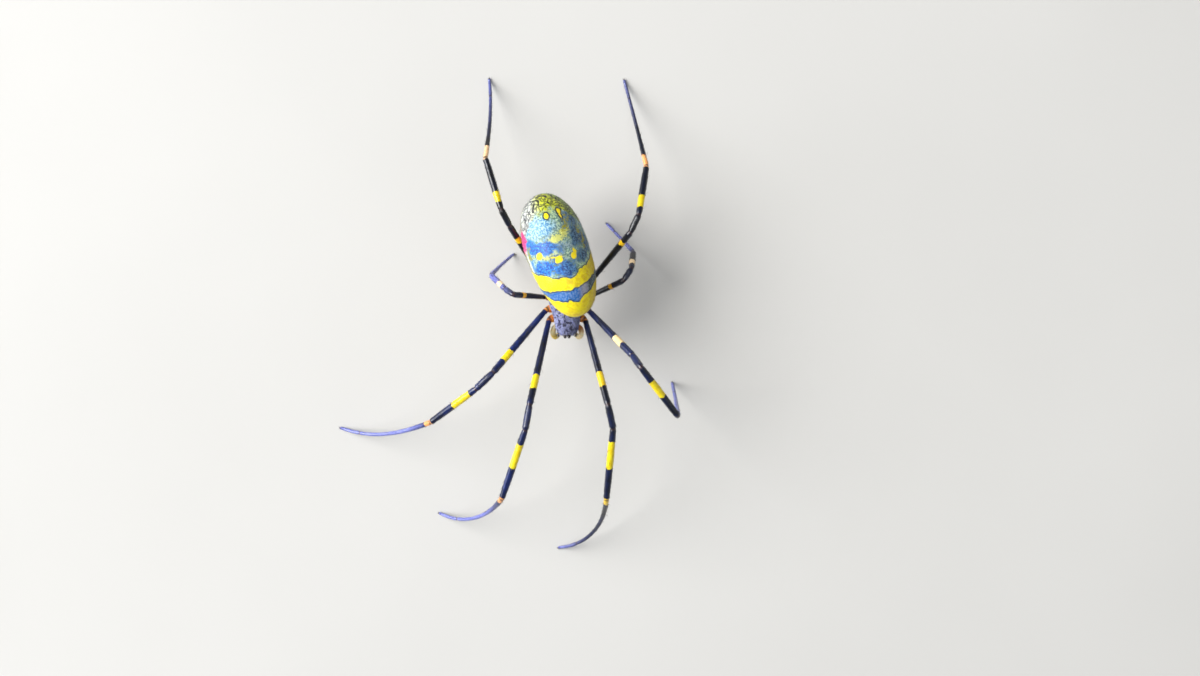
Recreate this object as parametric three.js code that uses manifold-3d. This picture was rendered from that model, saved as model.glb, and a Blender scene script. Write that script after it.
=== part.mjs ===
// A golden silk orb weaver (a joro spider, adult female) at life size, standing on its eight feet with
// the legs spread long to the front and the back.
// Millimetres. +Z is up, the head points to -Y, and the animal's left side is +X. The feet stand on z = 0.
import * as THREE from "three";
import { mergeVertices } from "three/addons/utils/BufferGeometryUtils.js";
import Module from "manifold-3d";

const wasm = await Module();
wasm.setup();

// Driving dimensions. Body places are measured from a point above the middle pairs of legs.
const GAP = 0.05; // left between two pieces that meet
const ABDOMEN = {
  length: 17.0,
  width: 8.4,
  height: 8.4,
  widestShare: 0.43, // of the length, from the rear
  roundness: 2.2, // exponent of the outline: 2 is an ellipse
  centre: new THREE.Vector3(-0.95, 7.6, 12.2),
  yaw: 20, // the rear swings to the animal's right
  pitch: 12, // the rear sinks
  roll: 7, // the back leans to the animal's left
};
const HIP_HEIGHT = 6.6;
const FOOT_RADIUS = 0.265;
const FOOT_SINK = 0.03; // how far a foot's centre line runs under the floor, where the foot is cut flat

// Carapace cross sections from the rear to the front: place along Y, half width, top and lower edge.
const CARAPACE_SECTIONS = [
  { y: 3.2, halfWidth: 0.8, top: 7.8, bottom: 7.2 },
  { y: 2.8, halfWidth: 1.6, top: 8.1, bottom: 6.95 },
  { y: 2.0, halfWidth: 2.25, top: 8.45, bottom: 6.75 },
  { y: 1.0, halfWidth: 2.5, top: 8.65, bottom: 6.6 },
  { y: 0.0, halfWidth: 2.35, top: 8.75, bottom: 6.6 },
  { y: -0.9, halfWidth: 2.0, top: 8.95, bottom: 6.6 },
  { y: -1.8, halfWidth: 1.75, top: 9.2, bottom: 6.7 },
  { y: -2.7, halfWidth: 1.6, top: 9.3, bottom: 6.9 },
  { y: -3.4, halfWidth: 1.45, top: 9.1, bottom: 7.1 },
  { y: -3.85, halfWidth: 1.25, top: 8.75, bottom: 7.35 },
  { y: -4.0, halfWidth: 0.85, top: 8.3, bottom: 7.7 },
];
const STERNUM_SECTIONS = [
  { y: 2.0, halfWidth: 0.25, top: 6.2, bottom: 5.7 },
  { y: 1.5, halfWidth: 0.6, top: 6.4, bottom: 5.3 },
  { y: 0.3, halfWidth: 1.2, top: 6.45, bottom: 5.0 },
  { y: -0.9, halfWidth: 1.45, top: 6.45, bottom: 4.95 },
  { y: -1.7, halfWidth: 1.2, top: 6.4, bottom: 5.1 },
  { y: -2.3, halfWidth: 0.9, top: 6.35, bottom: 5.0 },
  { y: -3.1, halfWidth: 0.8, top: 6.3, bottom: 5.1 },
  { y: -3.3, halfWidth: 0.6, top: 6.2, bottom: 5.3 },
];

// Segment lengths and girth of each pair of legs. Hips are where the thigh leaves the short basal joints.
const LEG_PAIRS = {
  1: { hip: [2.4, -1.9], femur: 13.4, patella: 3.4, tibia: 10.7, metatarsus: 13.7, tarsus: 3.5, girth: 1.0 },
  2: { hip: [2.7, -0.5], femur: 11.8, patella: 3.2, tibia: 8.9, metatarsus: 12.9, tarsus: 3.2, girth: 1.0 },
  3: { hip: [2.8, 1.1], femur: 6.6, patella: 1.9, tibia: 3.9, metatarsus: 5.6, tarsus: 2.2, girth: 0.84 },
  4: { hip: [2.6, 2.6], femur: 11.2, patella: 2.6, tibia: 7.2, metatarsus: 10.8, tarsus: 2.8, girth: 0.92 },
};
// The basal joint's inner end: shares of the hip's place, and how much further forward and down it lies.
const COXA_ROOT = { acrossShare: 0.4, alongShare: 0.8, forward: 0.15, down: 0.85 };

// The pose: each segment's heading, turned from +X seen from above, and its slope above level, in degrees.
// The foot is the metatarsus and tarsus: it starts with one heading, turns by its curl, and flattens towards
// its end. Its slope is worked out, so that every foot reaches the floor.
const LEG_POSES = {
  right_1: { femur: [-104, 40], patella: [-100, 4], tibia: [-108, -14], foot: [-117, -83, 19] },
  left_1: { femur: [-73, 39], patella: [-78, -6], tibia: [-95, -16], foot: [-94, -75, 20] },
  right_2: { femur: [-133, 29], patella: [-136, 3], tibia: [-140, -24], foot: [-151, -45, 11] },
  left_2: { femur: [-38, 50], patella: [-45, 62], tibia: [-55, -17], foot: [105, 0, 26] },
  right_3: { femur: [165, 48], patella: [155, -50], tibia: [145, -52], foot: [32, 0, 16] },
  left_3: { femur: [31, 33], patella: [56, -14], tibia: [81, -64], foot: [141, -1, 14] },
  right_4: { femur: [119, 26], patella: [116, 10], tibia: [108, -19], foot: [82, 16, 15] },
  left_4: { femur: [54, 28], patella: [65, -2], tibia: [80, -33], foot: [105, 1, 19] },
};

// Radius along each kind of segment at girth 1, from its near end to its far end.
const SEGMENT_RADII = {
  coxa: [0.5, 0.56, 0.54, 0.48],
  femur: [0.38, 0.47, 0.51, 0.51, 0.45],
  patella: [0.44, 0.5, 0.5, 0.44],
  tibia: [0.43, 0.49, 0.5, 0.48, 0.42],
  metatarsus: [0.36, 0.36, 0.33, 0.3, 0.28, 0.27, 0.27, 0.27],
  tarsus: [0.27, 0.28, 0.27, 0.265],
};
const CURL_EASE = 1.6; // above 1, a foot curls more towards its end

// A feeler's radius at its root and how much less it is at its tip.
const PALP = { radius: 0.36, taper: 0.06, steps: 11 };

// Eyes: places of the right eyes, mirrored for the left, and the middle mound that carries four of them.
const EYE_MOUND = { centre: [0, -3.74, 8.62], radius: 0.42 };
const MEDIAN_EYES = [
  { centre: [0.26, -4.02, 8.46], radius: 0.18 },
  { centre: [0.31, -3.86, 8.9], radius: 0.18 },
];
const LATERAL_EYES = [
  { centre: [1.14, -3.84, 8.3], radius: 0.18 },
  { centre: [1.21, -3.68, 8.5], radius: 0.17 },
];

// Fineness of the faceted surfaces.
const LIMB_SIDES = 10;
const SPINNERET_SIDES = 8;
const BODY_SIDES = 18;
const FOOT_STEPS = 60;
const SLOPE_HALVINGS = 40;
const ABDOMEN_SIDES = 28;
const ABDOMEN_RINGS = 19;

const COLOURS = {
  abdomen: 0xd9c62a,
  carapace: 0x8a8aa6,
  coxa: 0xb8642a,
  leg: 0x1b1d33,
  metatarsus: 0x4a4d7a,
  tarsus: 0x4a4d7a,
  dark: 0x18151a,
  palp: 0xd8b968,
  eye: 0x0c0a0c,
};

const SIDES = { right: -1, left: 1 };
const vector = (x, y, z) => new THREE.Vector3(x, y, z);

// What a function gives at evenly spaced places from 0 to 1.
const spaced = (steps, at) => Array.from({ length: steps + 1 }, (_, i) => at(i / steps));

// The unit vector with a heading and a slope in degrees.
function direction(heading, slope) {
  const h = THREE.MathUtils.degToRad(heading);
  const s = THREE.MathUtils.degToRad(slope);
  return vector(Math.cos(s) * Math.cos(h), Math.cos(s) * Math.sin(h), Math.sin(s));
}

// A closed body through rings of points, each with the same number, closed by a fan at either end.
function loft(rings) {
  const sides = rings[0].length;
  const points = rings.flat();
  const faces = [];
  for (let r = 0; r + 1 < rings.length; r++) {
    for (let i = 0; i < sides; i++) {
      const a = r * sides + i;
      const b = r * sides + ((i + 1) % sides);
      faces.push(a, b, b + sides, a, b + sides, a + sides);
    }
  }
  for (const end of [0, rings.length - 1]) {
    const middle = rings[end].reduce((sum, p) => sum.add(p), vector(0, 0, 0)).divideScalar(sides);
    points.push(middle);
    for (let i = 0; i < sides; i++) {
      const a = end * sides + i;
      const b = end * sides + ((i + 1) % sides);
      faces.push(...(end ? [a, b, points.length - 1] : [b, a, points.length - 1]));
    }
  }
  return new THREE.BufferGeometry().setFromPoints(points).setIndex(faces);
}

// A geometry as a solid that can be joined and cut. Its faces are turned outwards if they point in.
function solid(geometry) {
  const bare = new THREE.BufferGeometry()
    .setAttribute("position", geometry.getAttribute("position"))
    .setIndex(geometry.index);
  const merged = mergeVertices(bare, 1e-4);
  const build = (triVerts) =>
    new wasm.Manifold(
      new wasm.Mesh({ numProp: 3, vertProperties: merged.attributes.position.array, triVerts }),
    );
  const faces = new Uint32Array(merged.index.array);
  const made = build(faces);
  return made.volume() > 0 ? made : build(faces.slice().reverse());
}

function geometryOf(made) {
  const mesh = made.getMesh();
  return new THREE.BufferGeometry()
    .setAttribute("position", new THREE.BufferAttribute(mesh.vertProperties, 3))
    .setIndex(new THREE.BufferAttribute(mesh.triVerts, 1));
}

function part(name, made, colour, roughness) {
  const material = new THREE.MeshStandardMaterial({ color: colour, roughness, metalness: 0 });
  const mesh = new THREE.Mesh(geometryOf(made), material);
  mesh.name = name;
  return mesh;
}

const unite = (made) => made.reduce((sum, next) => sum.add(next));

function ball(centre, radius, detail = 1) {
  return solid(new THREE.IcosahedronGeometry(radius, detail).translate(centre.x, centre.y, centre.z));
}

// A shell-like body from cross sections: a low dome above the widest line and a flatter underside.
function sectioned(sections, grow = 0) {
  const last = sections.length - 1;
  const rings = sections.map(({ y, halfWidth, top, bottom }, index) => {
    const outwards = index === 0 ? grow : index === last ? -grow : 0;
    const edge = bottom + 0.35 * (top - bottom);
    return Array.from({ length: BODY_SIDES }, (_, i) => {
      const angle = (2 * Math.PI * i) / BODY_SIDES;
      const reach = Math.sin(angle) > 0 ? top + grow - edge : edge - bottom + grow;
      return vector((halfWidth + grow) * Math.cos(angle), y + outwards, edge + reach * Math.sin(angle));
    });
  });
  return solid(loft(rings));
}

// The abdomen's own frame is the body's, turned: +Y to its rear end, +Z to its back.
const abdomenTurn = new THREE.Matrix4().compose(
  ABDOMEN.centre,
  new THREE.Quaternion().setFromEuler(
    new THREE.Euler(
      THREE.MathUtils.degToRad(-ABDOMEN.pitch),
      THREE.MathUtils.degToRad(ABDOMEN.roll),
      THREE.MathUtils.degToRad(ABDOMEN.yaw),
      "ZXY",
    ),
  ),
  vector(1, 1, 1),
);
const inAbdomen = (x, y, z) => vector(x, y, z).applyMatrix4(abdomenTurn);

// The abdomen's girth as a share of its widest, at a share of its length from the rear.
function abdomenGirth(share) {
  const { widestShare, roundness } = ABDOMEN;
  const reach = share < widestShare ? widestShare : 1 - widestShare;
  const x = Math.min(1, Math.abs(share - widestShare) / reach);
  return (1 - x ** roundness) ** (1 / roundness);
}

function abdomenSolid(grow = 0) {
  const rings = [];
  for (let r = 1; r < ABDOMEN_RINGS; r++) {
    const share = (1 - Math.cos((Math.PI * r) / ABDOMEN_RINGS)) / 2;
    const girth = abdomenGirth(share);
    rings.push(
      Array.from({ length: ABDOMEN_SIDES }, (_, i) => {
        const angle = (2 * Math.PI * i) / ABDOMEN_SIDES;
        return inAbdomen(
          (girth * ABDOMEN.width * 0.5 + grow) * Math.cos(angle),
          (0.5 - share) * (ABDOMEN.length + 2 * grow),
          (girth * ABDOMEN.height * 0.5 + grow) * Math.sin(angle),
        );
      }),
    );
  }
  const geometry = loft(rings);
  const tips = geometry.getAttribute("position");
  [0.5, -0.5].forEach((end, i) => {
    const tip = inAbdomen(0, end * (ABDOMEN.length + 2 * grow), 0);
    tips.setXYZ(tips.count - 2 + i, tip.x, tip.y, tip.z);
  });
  return solid(geometry);
}

// A tube along a line of points, with a radius at each. Planes cut its ends, so that it meets its neighbours.
function limb(points, radii, startPlane, endPlane) {
  const last = points.length - 1;
  const tangents = points.map((_, i) =>
    points[Math.min(i + 1, last)].clone().sub(points[Math.max(i - 1, 0)]).normalize(),
  );
  let across = vector(0, 0, 1).cross(tangents[0]).normalize();
  const rings = points.map((point, i) => {
    const tangent = tangents[i];
    across = across.sub(tangent.clone().multiplyScalar(across.dot(tangent))).normalize();
    const up = tangent.clone().cross(across);
    const plane = i === 0 ? startPlane : i === last ? endPlane : null;
    return Array.from({ length: LIMB_SIDES }, (_, k) => {
      const angle = (2 * Math.PI * k) / LIMB_SIDES;
      const p = point
        .clone()
        .addScaledVector(across, radii[i] * Math.cos(angle))
        .addScaledVector(up, radii[i] * Math.sin(angle));
      if (plane) p.addScaledVector(tangent, -plane.distanceToPoint(p) / plane.normal.dot(tangent));
      return p;
    });
  });
  return solid(loft(rings));
}

// The plane halfway between two directions at a joint, moved along the limb by half the gap or back by it.
function jointPlane(point, before, after, shift) {
  const normal = before.clone().add(after).normalize();
  const place = point.clone().addScaledVector(normal, shift);
  return new THREE.Plane().setFromNormalAndCoplanarPoint(normal, place);
}

// Points from one place on, evenly spaced, with a heading and slope that change evenly along the way.
function walk(start, length, steps, heading, turn, slope, flatten) {
  const points = [start.clone()];
  for (let i = 0; i < steps; i++) {
    const share = (i + 0.5) / steps;
    const step = direction(heading + turn * share ** CURL_EASE, slope + flatten * share);
    points.push(points[i].clone().addScaledVector(step, length / steps));
  }
  return points;
}

// The foot's points, with the starting slope that brings its end down to the floor.
function footPoints(start, length, steps, [heading, curl, flatten]) {
  let low = -90 - flatten / 2;
  let high = 0;
  for (let i = 0; i < SLOPE_HALVINGS; i++) {
    const slope = (low + high) / 2;
    const end = walk(start, length, steps, heading, curl, slope, flatten).at(-1);
    if (end.z > -FOOT_SINK) high = slope;
    else low = slope;
  }
  return walk(start, length, steps, heading, curl, (low + high) / 2, flatten);
}

// A leg's lines of points, one for each segment, from the basal joint to the foot's end.
function legLines(word, number) {
  const pair = LEG_PAIRS[number];
  const pose = LEG_POSES[`${word}_${number}`];
  const hip = vector(SIDES[word] * pair.hip[0], pair.hip[1], HIP_HEIGHT);
  const root = vector(
    hip.x * COXA_ROOT.acrossShare,
    hip.y * COXA_ROOT.alongShare - COXA_ROOT.forward,
    hip.z - COXA_ROOT.down,
  );
  const stepsOf = (segment) => SEGMENT_RADII[segment].length - 1;
  const lines = { coxa: spaced(stepsOf("coxa"), (t) => root.clone().lerp(hip, t)) };
  let end = hip;
  for (const segment of ["femur", "patella", "tibia"]) {
    const [heading, slope] = pose[segment];
    lines[segment] = walk(end, pair[segment], stepsOf(segment), heading, 0, slope, 0);
    end = lines[segment].at(-1);
  }
  const length = pair.metatarsus + pair.tarsus;
  const share = pair.metatarsus / length;
  const curve = new THREE.CatmullRomCurve3(footPoints(end, length, FOOT_STEPS, pose.foot));
  lines.metatarsus = spaced(stepsOf("metatarsus"), (t) => curve.getPointAt(share * t));
  lines.tarsus = spaced(stepsOf("tarsus"), (t) => curve.getPointAt(share + (1 - share) * t));
  return lines;
}

const carapaceCut = sectioned(CARAPACE_SECTIONS, GAP);
const sternumCut = sectioned(STERNUM_SECTIONS, GAP);
const underFloor = solid(new THREE.BoxGeometry(200, 200, 4).translate(0, 0, -2));

function buildLeg(word, number) {
  const lines = legLines(word, number);
  const { girth } = LEG_PAIRS[number];
  const order = Object.keys(lines);
  const leaving = (line) => line.at(-1).clone().sub(line.at(-2)).normalize();
  const entering = (line) => line[1].clone().sub(line[0]).normalize();
  return order.map((segment, index) => {
    const line = lines[segment];
    const before = lines[order[index - 1]];
    const after = lines[order[index + 1]];
    const start = before ? jointPlane(line[0], leaving(before), entering(line), GAP / 2) : null;
    const end = after ? jointPlane(line.at(-1), leaving(line), entering(after), -GAP / 2) : null;
    const radii = SEGMENT_RADII[segment].map((r) => Math.max(FOOT_RADIUS, r * girth));
    let made = limb(line, radii, start, end);
    if (segment === "coxa") made = made.subtract(carapaceCut).subtract(sternumCut);
    if (segment === "tarsus") made = made.subtract(underFloor);
    const colour = COLOURS[segment] ?? COLOURS.leg;
    return part(`leg_${word}_${number}_${segment}`, made, colour, 0.35);
  });
}

// Two pairs of eyes on a mound in the middle, and a touching pair at each front corner.
function eyeGroups() {
  const eye = (side, { centre: [x, y, z], radius }) => ball(vector(side * x, y, z), radius);
  const both = Object.values(SIDES).flatMap((side) => MEDIAN_EYES.map((each) => eye(side, each)));
  return {
    median_eyes: unite([eye(1, EYE_MOUND), ...both]),
    lateral_eyes_right: unite(LATERAL_EYES.map((each) => eye(SIDES.right, each))),
    lateral_eyes_left: unite(LATERAL_EYES.map((each) => eye(SIDES.left, each))),
  };
}

// A stout jaw below the front of the head, with its fang folded at the end.
function chelicera(side) {
  const line = [
    vector(side * 0.68, -3.15, 7.6),
    vector(side * 0.7, -3.45, 6.8),
    vector(side * 0.7, -3.6, 5.9),
    vector(side * 0.68, -3.55, 5.1),
    vector(side * 0.6, -3.4, 4.6),
  ];
  return limb(line, [0.5, 0.64, 0.66, 0.5, 0.3], null, null).subtract(carapaceCut).subtract(sternumCut);
}

// A feeler: forwards beside the head, then down in front of the jaws.
function palp(side) {
  const bends = new THREE.CatmullRomCurve3([
    vector(side * 1.15, -2.75, 6.35),
    vector(side * 1.75, -3.0, 6.75),
    vector(side * 1.95, -3.5, 7.2),
    vector(side * 1.85, -4.0, 6.95),
    vector(side * 1.65, -4.4, 6.0),
    vector(side * 1.4, -4.5, 4.9),
    vector(side * 1.2, -4.4, 3.9),
  ]);
  const line = bends.getSpacedPoints(PALP.steps);
  const radii = line.map((_, i) => PALP.radius - PALP.taper * (i / PALP.steps) ** 2);
  return limb(line, radii, null, null).subtract(carapaceCut).subtract(sternumCut);
}

// Six spinnerets in a close cluster on a ring, under the rear of the abdomen.
function spinneretCluster() {
  const base = vector(0, ABDOMEN.length * 0.335, -ABDOMEN.height * 0.36);
  const cone = (x, y, length, lean) => {
    const profile = [
      [0, 0],
      [0.42, 0],
      [0.4, length * 0.55],
      [0.22, length * 0.9],
      [0, length],
    ].map(([r, h]) => new THREE.Vector2(r, h));
    const turn = new THREE.Matrix4().makeRotationFromEuler(new THREE.Euler(lean - Math.PI / 2, 0, 0));
    const place = new THREE.Matrix4().makeTranslation(base.x + x, base.y + y, base.z);
    const geometry = new THREE.LatheGeometry(profile, SPINNERET_SIDES).applyMatrix4(turn).applyMatrix4(place);
    return solid(geometry.applyMatrix4(abdomenTurn));
  };
  const ring = new THREE.CylinderGeometry(0.95, 1.1, 1.2, 16)
    .rotateX(Math.PI / 2)
    .translate(base.x, base.y, base.z);
  return unite([
    solid(ring.applyMatrix4(abdomenTurn)),
    ...[-1, 1].flatMap((side) => [
      cone(side * 0.42, -0.38, 1.9, -0.25),
      cone(side * 0.42, 0.42, 1.75, 0.35),
      cone(side * 0.18, 0.05, 1.4, 0),
    ]),
  ]);
}

// A small solid made larger by the gap, about its own middle.
function grown(made) {
  const { min, max } = made.boundingBox();
  const middle = min.map((low, i) => (low + max[i]) / 2);
  const scale = min.map((low, i) => (max[i] - low + 2 * GAP) / (max[i] - low));
  return made
    .translate(middle.map((m) => -m))
    .scale(scale)
    .translate(middle);
}

// The waist between the two halves of the body.
function pedicel(abdomenCut) {
  const line = [vector(0, 2.6, 7.5), vector(0, 3.5, 7.8), vector(0, 3.9, 8.5), inAbdomen(0, -3.6, -2.5)];
  const tube = limb(line, [0.5, 0.42, 0.42, 0.5], null, null);
  return tube.subtract(carapaceCut).subtract(abdomenCut);
}

const spider = new THREE.Group();
const abdomenCut = abdomenSolid(GAP);
const eyes = eyeGroups();
const sockets = unite(Object.values(eyes).map(grown));
spider.add(part("carapace", sectioned(CARAPACE_SECTIONS).subtract(sockets), COLOURS.carapace, 0.6));
spider.add(part("sternum", sectioned(STERNUM_SECTIONS), COLOURS.dark, 0.5));
spider.add(part("abdomen", abdomenSolid(), COLOURS.abdomen, 0.4));
spider.add(part("pedicel", pedicel(abdomenCut), COLOURS.dark, 0.5));
spider.add(part("spinnerets", spinneretCluster().subtract(abdomenCut), COLOURS.dark, 0.5));
for (const [name, made] of Object.entries(eyes)) spider.add(part(name, made, COLOURS.eye, 0.1));
for (const [word, side] of Object.entries(SIDES)) {
  spider.add(part(`chelicera_${word}`, chelicera(side), COLOURS.dark, 0.3));
  spider.add(part(`palp_${word}`, palp(side), COLOURS.palp, 0.5));
  for (const number of Object.keys(LEG_PAIRS)) spider.add(...buildLeg(word, number));
}

// The origin is on the floor, under the middle of the whole animal.
const box = new THREE.Box3().setFromObject(spider);
const middle = box.getCenter(vector(0, 0, 0));
spider.position.set(-middle.x, -middle.y, -box.min.z);
const model = new THREE.Group();
model.add(spider);
export default model;
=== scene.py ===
import math

import bpy
import numpy as np
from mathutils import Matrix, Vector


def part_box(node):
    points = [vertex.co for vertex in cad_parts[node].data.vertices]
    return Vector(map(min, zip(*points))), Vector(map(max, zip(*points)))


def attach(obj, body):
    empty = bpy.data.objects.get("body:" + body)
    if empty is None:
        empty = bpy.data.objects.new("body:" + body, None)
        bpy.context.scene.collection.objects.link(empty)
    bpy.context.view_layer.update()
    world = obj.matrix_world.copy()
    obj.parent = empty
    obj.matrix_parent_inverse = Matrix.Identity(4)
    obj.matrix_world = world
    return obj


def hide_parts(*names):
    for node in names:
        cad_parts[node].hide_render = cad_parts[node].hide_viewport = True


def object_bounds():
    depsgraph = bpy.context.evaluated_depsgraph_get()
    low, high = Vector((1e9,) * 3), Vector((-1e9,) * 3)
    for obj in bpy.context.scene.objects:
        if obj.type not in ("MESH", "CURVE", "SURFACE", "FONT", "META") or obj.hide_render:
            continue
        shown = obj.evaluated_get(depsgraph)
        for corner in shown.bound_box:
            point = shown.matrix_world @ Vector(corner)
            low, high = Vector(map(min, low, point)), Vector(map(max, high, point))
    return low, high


# The looks of a golden silk orb weaver: an adult female joro spider, standing on its eight feet.
# Sizes are millimetres of the body plan: the head points to -Y, the animal's left is +X and +Z is up.
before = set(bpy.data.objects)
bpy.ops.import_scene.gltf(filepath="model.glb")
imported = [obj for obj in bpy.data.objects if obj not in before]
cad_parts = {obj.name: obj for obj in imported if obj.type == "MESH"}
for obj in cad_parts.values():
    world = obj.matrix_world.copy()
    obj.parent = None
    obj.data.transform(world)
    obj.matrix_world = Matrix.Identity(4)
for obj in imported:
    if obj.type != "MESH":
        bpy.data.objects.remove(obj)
cad_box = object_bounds()
FULLNESS = 1.0  # share of the hairs that are made

MM = 0.001
CARAPACE_FRONT = -4.0  # the plan's Y at the front end of the head
head_low, head_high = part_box("carapace")
SHIFT = np.array([(head_low.x + head_high.x) / 2, head_low.y - CARAPACE_FRONT * MM, cad_box[0].z])

# Driving dimensions, the same as the solids'.
ABDOMEN_LENGTH = 17.0
ABDOMEN_WIDTH = 8.4
ABDOMEN_WIDEST = 0.43  # share of the length from the rear
ABDOMEN_ROUNDNESS = 2.2
ABDOMEN_CENTRE = (-0.95, 7.6, 12.2)
ABDOMEN_YAW, ABDOMEN_PITCH, ABDOMEN_ROLL = 20.0, 12.0, 7.0
HIP_HEIGHT = 6.6
FOOT_SINK = 0.03  # how far a foot's middle line runs under the floor
FOOT_STEPS = 60
CURL_EASE = 1.6  # above 1, a foot curls more towards its end

SKIN_DEPTH = 0.04  # how far the abdomen's skin lies inside its solid, under the down
FLOOR_GAP = 0.012  # between the floor and the lowest hairs
THIRD = 2 * math.pi / 3  # of a turn, between the corners of a hair
LEG_COLUMNS = 24  # points around a leg
LEG_DOWN, LEG_HAIRS = 230, 40  # short and long hairs for each millimetre of a leg
SPINY = [("femur", 0.15, 0.95), ("tibia", 0.1, 0.95), ("metatarsus", 0.0, 0.5)]  # spines, as shares
JOINT_DEPTHS = (0.08, 0.17, 0.17, 0.17, 0.17, 0.1)  # how much narrower a leg is at each joint, as shares

# Carapace and sternum from the rear to the front: place along Y, half width, top and lower edge.
CARAPACE_SECTIONS = [
    (3.2, 0.8, 7.8, 7.2), (2.8, 1.6, 8.1, 6.95), (2.0, 2.25, 8.45, 6.75), (1.0, 2.5, 8.65, 6.6),
    (0.0, 2.35, 8.75, 6.6), (-0.9, 2.0, 8.95, 6.6), (-1.8, 1.75, 9.2, 6.7), (-2.7, 1.6, 9.3, 6.9),
    (-3.4, 1.45, 9.1, 7.1), (-3.85, 1.25, 8.75, 7.35), (-4.0, 0.85, 8.3, 7.7),
]
STERNUM_SECTIONS = [
    (2.0, 0.25, 6.2, 5.7), (1.5, 0.6, 6.4, 5.3), (0.3, 1.2, 6.45, 5.0), (-0.9, 1.45, 6.45, 4.95),
    (-1.7, 1.2, 6.4, 5.1), (-2.0, 0.95, 6.35, 5.05),
]

LEG_PAIRS = {
    1: dict(hip=(2.4, -1.9), femur=13.4, patella=3.4, tibia=10.7, metatarsus=13.7, tarsus=3.5, girth=1.0),
    2: dict(hip=(2.7, -0.5), femur=11.8, patella=3.2, tibia=8.9, metatarsus=12.9, tarsus=3.2, girth=1.0),
    3: dict(hip=(2.8, 1.1), femur=6.6, patella=1.9, tibia=3.9, metatarsus=5.6, tarsus=2.2, girth=0.84),
    4: dict(hip=(2.6, 2.6), femur=11.2, patella=2.6, tibia=7.2, metatarsus=10.8, tarsus=2.8, girth=0.92),
}
# Each leg's pose, as the heading of every segment, turned from +X seen from above, and its slope, in degrees.
# The foot starts with one heading, turns by its curl, and flattens towards its end.
# The light rings go from one share of their segment to another, each with its tone, from yellow at 0 to
# orange at 1 and peach at 2. Below 0 it is pale.
# The fade from dark to lavender goes from one share to another of the way from the end of the tibia to the
# leg's end, and below 0 it is on the tibia; the lavender is partly the feet's own paler tone and partly a
# painted highlight. The last value is how far the leg is navy, and not black: partly the leg's own tone and
# partly a painted blue sheen, strongest on the front legs of the lit right side.
LEGS = {
    "right_1": dict(
        femur=(-104, 40), patella=(-100, 4), tibia=(-108, -14), foot=(-117, -83, 19),
        rings=dict(femur=(0.66, 0.82, 0.1), tibia=(0.20, 0.54, 0.0), metatarsus=(-0.02, 0.08, 1.35)),
        fade=(0.0, 0.5), navy_and_sheen=0.75,
    ),
    "left_1": dict(
        femur=(-73, 39), patella=(-78, -6), tibia=(-95, -16), foot=(-94, -75, 20),
        rings=dict(femur=(0.63, 0.80, 0.25), tibia=(0.17, 0.55, 0.0), metatarsus=(-0.02, 0.09, 0.35)),
        fade=(0.6, 1.1), navy_and_sheen=0.25,
    ),
    "right_2": dict(
        femur=(-133, 29), patella=(-136, 3), tibia=(-140, -24), foot=(-151, -45, 11),
        rings=dict(femur=(0.67, 0.82, 0.0), tibia=(0.12, 0.49, 0.0), metatarsus=(-0.02, 0.08, 1.35)),
        fade=(-0.05, 0.35), navy_and_sheen=0.9,
    ),
    "left_2": dict(
        femur=(-38, 50), patella=(-45, 62), tibia=(-55, -17), foot=(105, 0, 26),
        rings=dict(femur=(0.62, 0.78, -0.6), tibia=(0.28, 0.59, 0.0)), fade=(-0.02, 0.25), navy_and_sheen=0.45,
    ),
    "right_3": dict(
        femur=(165, 48), patella=(155, -50), tibia=(145, -52), foot=(32, 0, 16),
        rings=dict(femur=(0.66, 0.75, 0.55), tibia=(0.20, 0.42, -0.8)), fade=(-0.8, -0.2), navy_and_sheen=0.4,
    ),
    "left_3": dict(
        femur=(31, 33), patella=(56, -14), tibia=(81, -64), foot=(141, -1, 14),
        rings=dict(femur=(0.62, 0.70, 0.55), tibia=(0.20, 0.42, -0.8)), fade=(-0.12, 0.2), navy_and_sheen=0.1,
    ),
    "right_4": dict(
        femur=(119, 26), patella=(116, 10), tibia=(108, -19), foot=(82, 16, 15),
        rings=dict(femur=(0.74, 0.82, 0.3), tibia=(0.14, 0.33, 0.1), metatarsus=(-0.02, 0.19, 1.75)),
        fade=(0.2, 1.3), navy_and_sheen=0.0,
    ),
    "left_4": dict(
        femur=(54, 28), patella=(65, -2), tibia=(80, -33), foot=(105, 1, 19),
        rings=dict(femur=(0.79, 0.84, 0.4), tibia=(0.14, 0.38, 0.1), metatarsus=(-0.02, 0.16, 1.4)),
        fade=(0.3, 1.5), navy_and_sheen=0.05,
    ),
}
SEGMENT_RADII = {
    "coxa": (0.46, 0.53, 0.51, 0.44),
    "femur": (0.34, 0.39, 0.43, 0.45, 0.42),
    "patella": (0.4, 0.45, 0.45, 0.41),
    "tibia": (0.4, 0.46, 0.47, 0.45, 0.39),
    "metatarsus": (0.34, 0.33, 0.3, 0.27, 0.25, 0.24, 0.23, 0.22),
    "tarsus": (0.22, 0.22, 0.21, 0.17),
}
SEGMENTS = list(SEGMENT_RADII)
TROCHANTER = 0.8  # the short ring at the near end of each femur
SIDES = {"right": -1, "left": 1}

# The camera looks down on the back, a little from behind, at the photo's scale.
CAMERA_PLACE = (4.4, 73.106, 446.41)
CAMERA_TILT = -10.0
CAMERA_LENS = 100.0
FLOOR_SIZE = 1.5  # half the floor's width, in metres
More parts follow.
